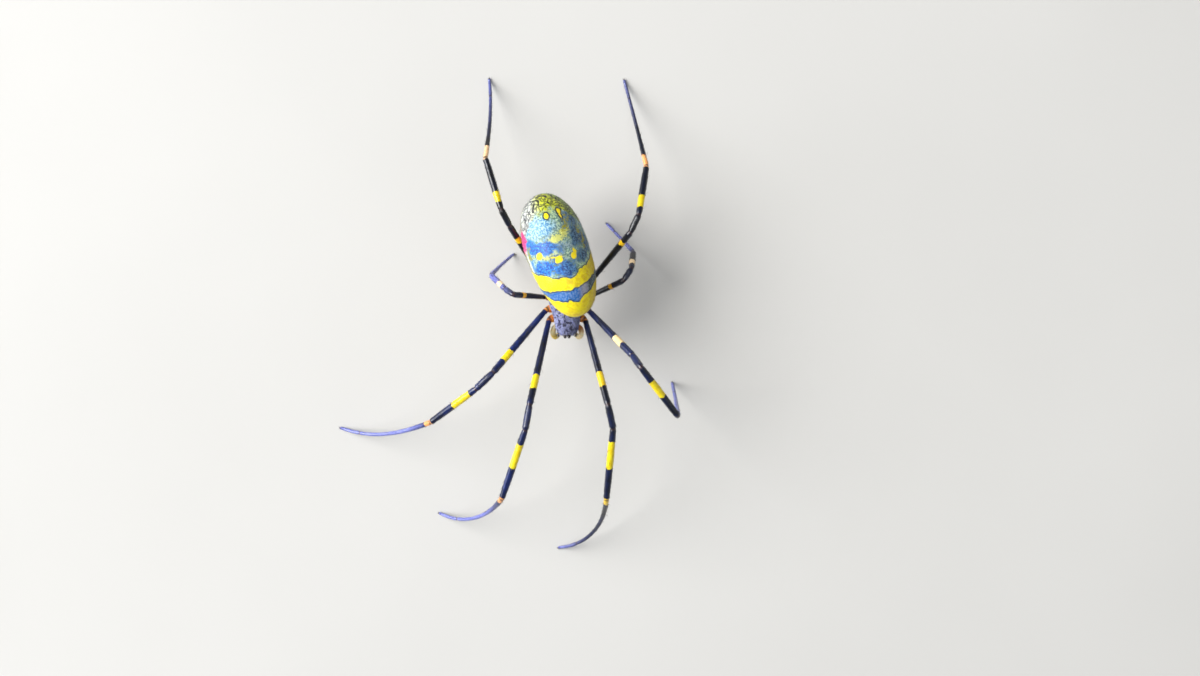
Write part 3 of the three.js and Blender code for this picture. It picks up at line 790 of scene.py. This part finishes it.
def sectioned(sections, rows, columns, shrink, relief=None):
    """Rings of a shell from cross sections: a dome above the widest line and a flatter underside."""
    ys, widths, tops, bottoms = (np.array(column)[::-1] for column in zip(*sections))
    share = closing_shares(rows, 0.03)
    y = ys[0] + (ys[-1] - ys[0]) * share
    # The section values run smoothly between their places, and shut towards both ends.
    knot = np.arange(len(ys))
    at = np.interp(y, ys, knot)
    near = bell(at[:, None] - knot[None, :], 0.62)
    near = near / near.sum(axis=1, keepdims=True)
    width, top, bottom = near @ widths, near @ tops, near @ bottoms
    close = np.sqrt(np.clip(1 - np.abs(2 * share - 1) ** 12, 0, 1))
    edge = bottom + 0.35 * (top - bottom)
    angle = circle(columns)
    reach = np.where(np.sin(angle) > 0, (top - edge)[:, None], (edge - bottom)[:, None]) - shrink
    x = (width[:, None] * close[:, None] - shrink) * np.cos(angle)
    z = edge[:, None] + reach * close[:, None] * np.sin(angle)
    points = np.stack([x, y[:, None] + 0 * x, z], axis=-1)
    if relief is not None:
        points = points + relief(x, y[:, None] + 0 * x, np.maximum(0, np.sin(angle)))
    return points


def carapace_relief(x, y, above):
    """The pit in the middle, the neck grooves, faint spokes, two small horns and the mound of eyes."""
    pit = 0.22 * bell(x, 0.42) * bell(y - 1.15, 0.2)
    groove_x = 0.35 + (0.75 - y) * 0.82
    neck = 0.16 * bell(np.abs(x) - groove_x, 0.17) * (y < 1.0) * (y > -1.4)
    spokes = 0.0
    for end_x, end_y in ((2.3, -0.2), (2.4, 1.3), (1.9, 2.5)):
        way = math.atan2(end_y - 1.1, end_x)
        off = np.abs(x) * math.sin(way) - (y - 1.1) * math.cos(way)
        spokes = spokes + 0.06 * bell(off, 0.14) * bell(np.hypot(x, y - 1.1) - 1.3, 0.7)
    horns = 0.17 * bell(np.abs(x) - 0.42, 0.16) * bell(y + 0.75, 0.18)
    mound = 0.12 * bell(x, 0.5) * bell(y + 3.75, 0.4)
    corners = 0.12 * bell(np.abs(x) - 1.15, 0.22) * bell(y + 3.72, 0.3)
    rise = above * (horns + mound + corners - pit - neck - spokes)
    forward = above * (mound + corners) * 0.5
    return np.stack([0 * rise, -forward, rise], axis=-1)


def cuticle_finish(name, dark, light, roughness, coat=0.3):
    """Plain horny cuticle with soft blotches and a fine pitted grain."""
    f = Finish(name, Roughness=roughness, Coat_Weight=coat, Coat_Roughness=0.12)
    blotch = f.noise(0.35, 4, 0.5)
    grain = f.noise(0.05, 2)
    base = f.blend(blotch, 0.35, 0.7, dark, light)
    uneven = f.scaled(blotch, 0.25, roughness - 0.12)
    return f.finish(base, [(blotch, 0.02), (grain, 0.008)], uneven)


def down_finish():
    """Silvery down in tufts, with dark gaps where the cuticle shows between them."""
    f = Finish("silver_down", Roughness=0.42, Sheen_Weight=0.3, Sheen_Roughness=0.4)
    tuft = f.noise(0.45, 3, 0.9)
    fine = f.noise(0.1, 2)
    silver = f.blend(fine, 0.35, 0.65, "7a84dc", "e6eaff")
    base = f.blend(tuft, 0.4, 0.52, "221e5a", silver)
    return f.finish(base)


def build_carapace(rng):
    rings = sectioned(CARAPACE_SECTIONS, 110, 96, 0.09, carapace_relief)
    surface = Surface(rings)
    shell = cuticle_finish("carapace_shell", "100c14", "2c2438", 0.34)
    add_piece("carapace_shell", [surface], shell, ["carapace"])
    x, y, z = np.moveaxis(rings, -1, 0)
    clear = 1.0 - 0.96 * np.minimum(1, bell(np.abs(x) - 1.16, 0.3) * bell(y + 3.9, 0.5) * 2)
    clear = clear * (1 - 0.95 * np.minimum(1, bell(np.abs(x) - 0.28, 0.26) * bell(y + 4.0, 0.35) * 2))
    upper = np.clip((z - 6.9) / 0.4, 0.04, 1)
    weight = clear * upper * (1 - 0.75 * bell(x, 0.4) * bell(y - 1.15, 0.25))
    silver = down_finish()
    low = grow(surface, rng, 26000, length=0.22, width=0.019, lift=11, spread=0.3, weight=weight)
    tall = grow(surface, rng, 7000, length=0.3, width=0.018, lift=20, spread=0.3, bend=16, weight=weight)
    add_piece("carapace_down", [low, tall], silver)


EYES = {
    "median_eyes": [
        (0.26, -4.02, 8.46, 0.18, (0.35, -1.0, 0.1)), (0.31, -3.86, 8.9, 0.18, (0.5, -0.55, 0.8)),
    ],
    "lateral_eyes": [
        (1.14, -3.84, 8.3, 0.17, (0.6, -1.0, 0.05)), (1.21, -3.68, 8.5, 0.16, (1.0, -0.35, 0.55)),
    ],
}


def eye_surface(side, x, y, z, radius, look):
    """A glassy dome in a raised dark rim, turned outwards from the head."""
    look = unit(np.array([side * look[0], look[1], look[2]]))
    profile = [
        (-0.7, 0.5), (-0.35, 0.9), (-0.05, 1.12), (0.12, 1.2), (0.24, 1.14), (0.27, 1.02), (0.25, 0.93),
        (0.36, 0.88), (0.56, 0.78), (0.76, 0.6), (0.9, 0.38), (0.97, 0.16),
    ]
    rise, out = np.array(profile).T * radius
    centre = np.array([side * x, y, z])
    rings = round_body(centre + rise[:, None] * look, out, 28)
    lens = np.array([0.0] * 6 + [0.5] + [1.0] * 5)[:, None]
    return Surface(rings, {"lens": lens})


def eye_finish():
    f = Finish("eye", Coat_Weight=1.0, Coat_Roughness=0.03)
    lens = f.step(f.mark("lens"), 0.3, 0.7)
    rim = f.mix(f.noise(0.07, 2), "120c0e", "3a2418")
    glass = f.mix(f.noise(0.2, 1), "050405", "1a0e10")
    rough = f.scaled(lens, -0.37, 0.42)
    return f.finish(f.mix(lens, rim, glass), [(f.noise(0.04, 2), 0.004)], rough)


def build_eyes():
    finish = eye_finish()
    median = [eye_surface(side, *eye) for side in SIDES.values() for eye in EYES["median_eyes"]]
    add_piece("median_eyes", median, finish, ["median_eyes"])
    for word, side in SIDES.items():
        pair = [eye_surface(side, *eye) for eye in EYES["lateral_eyes"]]
        add_piece(f"lateral_eyes_{word}", pair, finish, [f"lateral_eyes_{word}"])


JAW_KNOTS = [
    (0.62, -2.9, 7.9), (0.68, -3.2, 7.4), (0.7, -3.45, 6.8), (0.7, -3.6, 5.9), (0.68, -3.55, 5.1),
    (0.6, -3.42, 4.72),
]
JAW_RADII = [
    (0, 0.35), (0.1, 0.5), (0.25, 0.61), (0.4, 0.63), (0.62, 0.58), (0.8, 0.48), (0.92, 0.36), (1, 0.18),
]
FANG_KNOTS = [(0.78, -3.55, 4.85), (0.66, -3.45, 4.55), (0.42, -3.2, 4.5), (0.22, -2.9, 4.72)]
FANG_RADII = [(0, 0.17), (0.35, 0.13), (1, 0.015)]


def build_jaws(rng):
    """Both jaws with their fangs. Returns the bristles' material."""
    steps, fang_steps, columns = 44, 20, 32
    jaw = Finish("jaw", Roughness=0.26, Coat_Weight=0.5, Coat_Roughness=0.08)
    blotch = jaw.noise(0.4, 3, 0.4)
    fang = jaw.step(jaw.mark("fang"), 0.3, 0.7)
    base = jaw.blend(blotch, 0.4, 0.7, "0c0a10", "2a1a1c")
    base = jaw.mix(fang, base, jaw.blend(jaw.mark("fang"), 0.7, 1.0, "120608", "5a1608"))
    jaw_material = jaw.finish(base, [(blotch, 0.015), (jaw.noise(0.05, 2), 0.008)])
    bristle = cuticle_finish("bristle", "0a090c", "241e26", 0.5, coat=0.0)
    for word, side in SIDES.items():
        line = rounded(JAW_KNOTS, steps, side)
        share = np.linspace(0, 1, steps)[:, None]
        boss = 0.08 * bell(share - 0.3, 0.08) * bell(np.cos(circle(columns)) * side - 1, 0.5)
        rings = round_body(line, taper(steps, *JAW_RADII), columns, boss)
        stalk = Surface(rings, {"fang": 0.0}, box=(0, 0, 0.7, 1))
        rings = round_body(rounded(FANG_KNOTS, fang_steps, side), taper(fang_steps, *FANG_RADII), 16)
        redness = np.linspace(0.6, 1, fang_steps)[:, None]
        tooth = Surface(rings, {"fang": redness}, box=(0.7, 0, 1, 1))
        node = f"chelicera_{word}"
        add_piece(node, [stalk, tooth], jaw_material, [node])
        low = np.clip((7.4 - stalk.rings[..., 2]) / 1.2, 0.05, 1)
        hairs = [
            grow(stalk, rng, 700, length=0.16, width=0.01, lift=22, spread=0.25, weight=low),
            grow(stalk, rng, 140, length=0.34, width=0.014, lift=36, spread=0.3, bend=20, weight=low),
        ]
        add_piece(f"{node}_bristles", hairs, bristle)
    return bristle


def build_sternum(rng, bristle):
    shield = Surface(sectioned(STERNUM_SECTIONS, 40, 40, 0.05), {"pale": 1.0}, box=(0, 0, 0.4, 1))
    lip = Surface(bulge((0, -1.85, 5.6), (0, -2.75, 5.55), 0.42), {"pale": 0.0}, box=(0.4, 0, 0.6, 1))
    lobes = [
        Surface(bulge((side * 0.82, -1.75, 5.75), (side * 0.52, -3.2, 5.6), 0.4), {"pale": 0.3},
                box=(0.7 + 0.15 * side, 0, 0.85 + 0.15 * side, 1))
        for side in SIDES.values()
    ]
    parts = [shield, lip, *lobes]
    f = Finish("sternum", Roughness=0.4, Coat_Weight=0.2, Coat_Roughness=0.15)
    blotch = f.noise(0.6, 3, 0.4)
    base = f.blend(blotch, 0.4, 0.6, "1a1210", "3c2416")
    streak = f.step(f.times(f.mark("pale"), blotch), 0.52, 0.6)
    base = f.mix(streak, base, "b98a2a")
    material = f.finish(base, [(blotch, 0.02), (f.noise(0.05, 2), 0.008)])
    add_piece("sternum", parts, material, ["sternum"])
    hairs = [grow(part, rng, 900, length=0.2, width=0.013, lift=30, spread=0.3) for part in parts]
    add_piece("sternum_hairs", hairs, bristle)


def build_waist():
    steps = 50
    inner = in_abdomen([(0, -3.9, -2.3)])[0]
    line = rounded([(0, 2.5, 7.5), (0, 3.2, 7.7), (0, 3.8, 8.3), inner], steps)
    folds = 0.008 * np.sin(np.linspace(0, 50, steps))
    radii = taper(steps, (0, 0.48), (0.3, 0.4), (0.7, 0.4), (1, 0.5)) + folds
    finish = cuticle_finish("waist", "1a1214", "4a2c1a", 0.42)
    add_piece("waist", [Surface(round_body(line, radii, 28))], finish, ["pedicel"])


def build_spinnerets(rng, bristle):
    """Three pairs of blunt cones and the small one behind them, on a low ring."""
    base = np.array([0, ABDOMEN_LENGTH * 0.335, -ABDOMEN_WIDTH * 0.36])
    steps = 26
    cones = [
        (side * x, *rest)
        for x, *rest in (
            (0.42, -0.38, 1.88, -0.25, 0.4), (0.42, 0.42, 1.73, 0.35, 0.38), (0.18, 0.05, 1.4, 0.0, 0.24),
        )
        for side in SIDES.values()
    ]
    surfaces = []
    for index, (x, y, length, lean, radius) in enumerate([*cones, (0, 0.95, 1.25, 0.5, 0.3)]):
        way = np.array([0, math.sin(lean), -math.cos(lean)])
        line = base + np.array([x, y, 0]) + np.linspace(0, 1, steps)[:, None] * length * way
        radii = radius * taper(steps, (0, 1), (0.5, 0.95), (0.56, 0.8), (0.62, 0.84), (0.9, 0.5), (1, 0.22))
        box = (index / 8, 0, (index + 1) / 8, 1)
        surfaces.append(Surface(in_abdomen(round_body(line, radii, 20)), box=box))
    line = base + np.linspace(0.55, -0.62, 16)[:, None] * np.array([0, 0, 1])
    radii = taper(16, (0, 1.05), (0.6, 1.02), (0.85, 0.92), (1, 0.6))
    surfaces.append(Surface(in_abdomen(round_body(line, radii, 32)), box=(7 / 8, 0, 1, 1)))
    finish = cuticle_finish("spinnerets", "24140e", "7a4020", 0.45, coat=0.1)
    add_piece("spinnerets", surfaces, finish, ["spinnerets"])
    hairs = [grow(surface, rng, 420, length=0.2, width=0.013, lift=35, spread=0.3) for surface in surfaces]
    add_piece("spinneret_hairs", hairs, bristle)


# Legs and feelers


def walk(start, length, steps, heading, turn, slope, flatten):
    """Points from one place on, evenly spaced, with a heading and slope that change along the way."""
    points = [np.array(start, float)]
    for i in range(steps):
        share = (i + 0.5) / steps
        step = direction(heading + turn * share ** CURL_EASE, slope + flatten * share)
        points.append(points[-1] + step * length / steps)
    return np.array(points)


def foot_points(start, length, heading, curl, flatten):
    """The foot's points, with the starting slope that brings its end down to the floor."""
    low, high = -90 - flatten / 2, 0.0
    for _ in range(40):
        slope = (low + high) / 2
        end = walk(start, length, FOOT_STEPS, heading, curl, slope, flatten)[-1]
        if end[2] > -FOOT_SINK:
            high = slope
        else:
            low = slope
    return walk(start, length, FOOT_STEPS, heading, curl, (low + high) / 2, flatten)


class Leg:
    """A leg's middle line and the places of its joints along it."""

    STEP = 0.1

    def __init__(self, word, number):
        self.name = f"{word}_{number}"
        pair = LEG_PAIRS[number]
        self.traits = LEGS[self.name]
        self.girth = pair["girth"]
        hip = np.array([SIDES[word] * pair["hip"][0], pair["hip"][1], HIP_HEIGHT])
        root = np.array([hip[0] * 0.4, hip[1] * 0.8 - 0.15, hip[2] - 0.85])
        corners = [root, hip]
        for segment in ("femur", "patella", "tibia"):
            corners.append(corners[-1] + pair[segment] * direction(*self.traits[segment]))
        length = pair["metatarsus"] + pair["tarsus"]
        foot = foot_points(corners[-1], length, *self.traits["foot"])
        knots = np.concatenate([corners[:-1], foot])
        reach = reach_along(knots)
        self.starts = [*reach[:5], reach[4] + pair["metatarsus"], reach[-1]]
        places = [np.linspace(a, b, max(6, round((b - a) / self.STEP)), endpoint=False)
                  for a, b in zip(self.starts[:-1], self.starts[1:])]
        self.reach = np.concatenate([*places, [reach[-1]]])
        self.line = eased(read_line(self.reach, reach, knots), 3, 1.6)

    def radii(self):
        places, sizes = [], []
        inset = 0.08
        for index, radii in enumerate(SEGMENT_RADII.values()):
            start = self.starts[index] + (inset if index else 0.0)
            places.extend(np.linspace(start, self.starts[index + 1] - inset, len(radii)))
            sizes.extend(radii)
        sizes = np.interp(self.reach, places, sizes) * self.girth
        # The hip's end is round. At each joint a leg is narrower, and just before it a little swollen.
        sizes = sizes * np.sqrt(1 - (1 - np.minimum(1, (self.reach + 0.02) / 0.4)) ** 2)
        for joint, depth in zip([self.starts[1] + TROCHANTER, *self.starts[1:-1]], JOINT_DEPTHS):
            sizes = sizes * (1 - depth * bell(self.reach - joint, 0.17))
            sizes = sizes * (1 + 0.07 * bell(self.reach - joint + 0.42, 0.2))
        return sizes

    def ring(self, segment, low, high):
        """How far inside a ring between two shares of a segment, in millimetres."""
        index = SEGMENTS.index(segment)
        start, length = self.starts[index], self.starts[index + 1] - self.starts[index]
        return np.minimum(self.reach - start - low * length, start + high * length - self.reach)

    def marks(self):
        rings = self.traits["rings"]
        depth = np.stack([self.ring(segment, low, high) for segment, (low, high, _) in rings.items()])
        tones = np.array([tone for _, _, tone in rings.values()])[depth.argmax(axis=0)]
        joints = np.array(self.starts[1:-1])
        near = np.abs(self.reach[:, None] - joints[None, :]).min(axis=1)
        foot = (self.reach - self.starts[4]) / (self.starts[-1] - self.starts[4])
        low, high = self.traits["fade"]
        marks = {
            "ring": depth.max(axis=0),
            "tone": tones,
            "joint": bell(near, 0.16),
            "hip": self.starts[1] + TROCHANTER - self.reach,
            "foot": (foot - low) / (high - low),
            "blue": np.full(len(self.reach), self.traits["navy_and_sheen"]),
        }
        return {name: values[:, None] for name, values in marks.items()}

    def strips(self):
        """One strip of the unwrap for each segment."""
        middle = (self.reach[:-1] + self.reach[1:]) / 2
        index = np.clip(np.searchsorted(self.starts, middle) - 1, 0, len(SEGMENTS) - 1)
        starts = np.array(self.starts)
        start, length = starts[index], starts[index + 1] - starts[index]
        height = 1 / len(SEGMENTS)
        low, high = (self.reach[:-1] - start) / length, (self.reach[1:] - start) / length
        return np.stack([low, high, (index + 0.03) * height, (index + 0.97) * height], axis=1)

    def surface(self):
        radii = self.radii()
        line = self.line.copy()
        line[:, 2] = np.maximum(line[:, 2], radii + 2 * FLOOR_GAP)
        rings = round_body(line, radii, LEG_COLUMNS)
        rings = rings + 0.006 * waviness(rings, 0.9, 23)[..., None] * unit(rings - line[:, None])
        return Surface(rings, self.marks(), self.strips())

    def between(self, segment, low, high):
        """1 between two shares of a segment, for every ring, as a weight for hairs."""
        return np.repeat((self.ring(segment, low, high) > 0)[:, None] * 1.0, LEG_COLUMNS, axis=1)


def leg_finish(name, coat):
    if coat:
        f = Finish(name, Roughness=0.5, Specular_IOR_Level=0.15)
    else:
        f = Finish(name, Roughness=0.3, Specular_IOR_Level=0.45, Coat_Weight=0.55, Coat_Roughness=0.13)
    fine = f.noise(0.14, 3)
    grain = f.noise(0.6, 3, 0.5)
    ragged = f.scaled(grain, 0.3, -0.15)
    patch = f.step(f.noise(3.0, 3), 0.35, 0.65)
    # How far a leg is navy is partly its own tone and partly a painted blue sheen.
    base = f.mix(f.mark("blue"), f.mix(patch, "030509", "081026"), f.mix(patch, "06102f", "11286c"))
    base = f.mix(f.times(f.step(grain, 0.5, 0.7), 0.6), base, "03050e")
    # The lavender towards the foot is partly its own paler tone and partly a painted highlight.
    slate = f.blend(fine, 0.35, 0.65, "444a98", "8a90d2")
    base = f.blend(f.add(f.mark("foot"), ragged), 0.0, 1.0, base, slate)
    hip = f.blend(grain, 0.4, 0.6, "d07024", "f8a848")
    base = f.blend(f.add(f.mark("hip"), ragged), 0.35, 0.6, base, hip)
    tone = f.mark("tone")
    ring = f.blend(tone, 0.0, 1.0, f.blend(grain, 0.3, 0.7, "e8c80a", "f4e020"), "ec8c14")
    ring = f.blend(tone, -0.1, -0.8, ring, "ffe2b4")
    ring = f.blend(tone, 1.0, 2.0, ring, "fcd8a8")
    base = f.blend(f.scaled(ragged, 1.8, f.mark("ring")), -0.05, 0.05, base, ring)
    dark_joint = f.times(f.step(f.mark("joint"), 0.35, 0.9), 0.8)
    base = f.mix(dark_joint, base, "3a2426")
    if coat:
        return f.finish(base)
    return f.finish(base, [(grain, 0.012), (fine, 0.01)], f.scaled(fine, 0.3, 0.18))


def claws(leg, surface):
    """Two side claws and a smaller middle one, at the foot's end."""
    tip = surface.rings[-1].mean(axis=0)
    ahead = unit((leg.line[-1] - leg.line[-8]) * [1, 1, 0])
    across = np.cross([0, 0, 1.0], ahead)
    steps = 14
    made = []
    for index, (offset, length) in enumerate(((-0.06, 0.3), (0.06, 0.3), (0.0, 0.2))):
        knots = [
            tip + ahead * forward + across * offset * out + np.array([0, 0, rise])
            for forward, out, rise in (
                (-0.12, 0.7, 0.0), (length * 0.35, 1.0, 0.05), (length * 0.8, 1.6, 0.01),
                (length * 0.95, 1.7, -0.08),
            )
        ]
        line = rounded(knots, steps)
        line[:, 2] = np.maximum(line[:, 2], 0.03)
        rings = round_body(line, taper(steps, (0, 0.035), (0.5, 0.026), (1, 0.006)), 8)
        made.append(Surface(rings, box=(index / 3, 0, (index + 1) / 3, 1)))
    return made


def build_legs(rng, bristle):
    skin = leg_finish("leg_skin", False)
    coat = leg_finish("leg_hair", True)
    claw = cuticle_finish("claw", "0c0808", "2e1a12", 0.25)
    for word in SIDES:
        for number in LEG_PAIRS:
            leg = Leg(word, number)
            surface = leg.surface()
            name = f"leg_{leg.name}"
            add_piece(name, [surface], skin, [f"{name}_{segment}" for segment in SEGMENTS])
            length = leg.starts[-1]
            free = 1 - leg.between("coxa", 0, 0.7)
            hairs = [
                grow(surface, rng, LEG_DOWN * length, length=0.17, width=0.011, lift=17, spread=0.16,
                     weight=free),
                grow(surface, rng, LEG_HAIRS * length, length=0.28, width=0.014, lift=32, spread=0.2,
                     bend=16, weight=free),
            ]
            add_piece(f"{name}_hairs", hairs, coat)
            count = max(4, round(length / 4)) / FULLNESS
            spines = [
                grow(surface, rng, count, length=0.6, width=0.034, lift=32, spread=0.1, bend=10,
                     weight=leg.between(segment, low, high))
                for segment, low, high in SPINY
            ]
            add_piece(f"{name}_spines", spines, bristle)
            add_piece(f"{name}_claws", claws(leg, surface), claw)


PALP_KNOTS = [
    (1.15, -2.75, 6.35), (1.75, -3.0, 6.75), (1.95, -3.5, 7.2), (1.85, -4.0, 6.95), (1.65, -4.4, 6.0),
    (1.4, -4.5, 4.9), (1.2, -4.4, 3.95),
]
PALP_RADII = [(0, 0.3), (0.2, 0.33), (0.42, 0.32), (0.55, 0.33), (0.72, 0.31), (0.9, 0.26), (1, 0.1)]
PALP_JOINTS = (0.42, 0.55, 0.72)
PALP_YELLOW = {"right": 0.22, "left": -0.05}  # how much earlier than usual each palp's tip turns yellow


def build_palps(rng):
    f = Finish(
        "palp", Roughness=0.4, Coat_Weight=0.2, Coat_Roughness=0.15, Subsurface_Weight=0.1,
        Subsurface_Radius=(0.0004, 0.0003, 0.0002),
    )
    grain = f.noise(0.3, 3, 0.4)
    base = f.blend(grain, 0.35, 0.65, "fce0a4", "fff4cc")
    base = f.blend(f.mark("end"), 0.3, 0.1, base, "ec9c48")
    base = f.blend(f.mark("end"), 0.5, 0.64, base, f.mix(grain, "f0c000", "ffe410"))
    base = f.blend(f.mark("end"), 1.15, 1.2, base, "6c4410")
    base = f.blend(f.mark("joint"), 0.5, 1.0, base, "d09850")
    skin = f.finish(base, [(grain, 0.012), (f.noise(0.05, 2), 0.006)])
    steps = 80
    share = np.linspace(0, 1, steps)[:, None]
    near = bell(np.abs(share - PALP_JOINTS).min(axis=1), 0.018)
    radii = taper(steps, *PALP_RADII) * (1 - 0.1 * near)
    for word, side in SIDES.items():
        marks = {"end": share + PALP_YELLOW[word], "joint": near[:, None]}
        surface = Surface(round_body(rounded(PALP_KNOTS, steps, side), radii, 24), marks)
        name = f"palp_{word}"
        add_piece(name, [surface], skin, [name])
        hairs = [
            grow(surface, rng, 2600, length=0.15, width=0.011, lift=22, spread=0.2),
            grow(surface, rng, 300, length=0.3, width=0.014, lift=36, spread=0.25, bend=20),
        ]
        add_piece(f"{name}_hairs", hairs, skin)


# Floor, light and camera


def build_floor():
    f = Finish("floor", Roughness=0.9, Specular_IOR_Level=0.1)
    f.finish(f.mix(f.noise(60.0, 3), "c9c7c2", "d3d1cc"), [(f.noise(0.8, 3), 0.01)])
    mesh = bpy.data.meshes.new("floor")
    corners = [(x * FLOOR_SIZE, y * FLOOR_SIZE, 0) for x, y in ((-1, -1), (1, -1), (1, 1), (-1, 1))]
    mesh.from_pydata(corners, [], [(0, 1, 2, 3)])
    mesh.materials.append(f.material)
    floor = add_object("floor", mesh)


def build_studio():
    for name, (start, size, power, tint) in LIGHTS.items():
        data = bpy.data.lights.new(name, "AREA")
        data.shape = "DISK"
        data.size = size * MM
        data.energy = power
        data.color = tint
        light = add_object(name, data)
        light.location = place(start)
        way = unit(LIT_PLACE - start)
        light.rotation_euler = (math.acos(-way[2]), 0, math.atan2(way[1], way[0]) - math.pi / 2)
    world = bpy.data.worlds.new("studio")
    world.use_nodes = True
    background = world.node_tree.nodes["Background"].inputs
    background["Color"].default_value = SKY_COLOUR
    background["Strength"].default_value = SKY_STRENGTH
    bpy.context.scene.world = world
    bpy.context.scene.view_settings.view_transform = "Standard"


def build_camera():
    data = bpy.data.cameras.new("camera")
    data.lens = CAMERA_LENS
    data.clip_start = 0.01
    camera = add_object("camera", data)
    camera.location = place(CAMERA_PLACE)
    camera.rotation_euler = (math.radians(CAMERA_TILT), 0, 0)
    bpy.context.scene.camera = camera


build_floor()
build_studio()
build_camera()
rng = np.random.default_rng(7)
build_abdomen(rng)
build_carapace(rng)
build_eyes()
bristle = build_jaws(rng)
build_sternum(rng, bristle)
build_waist()
build_spinnerets(rng, bristle)
build_palps(rng)
build_legs(rng, bristle)
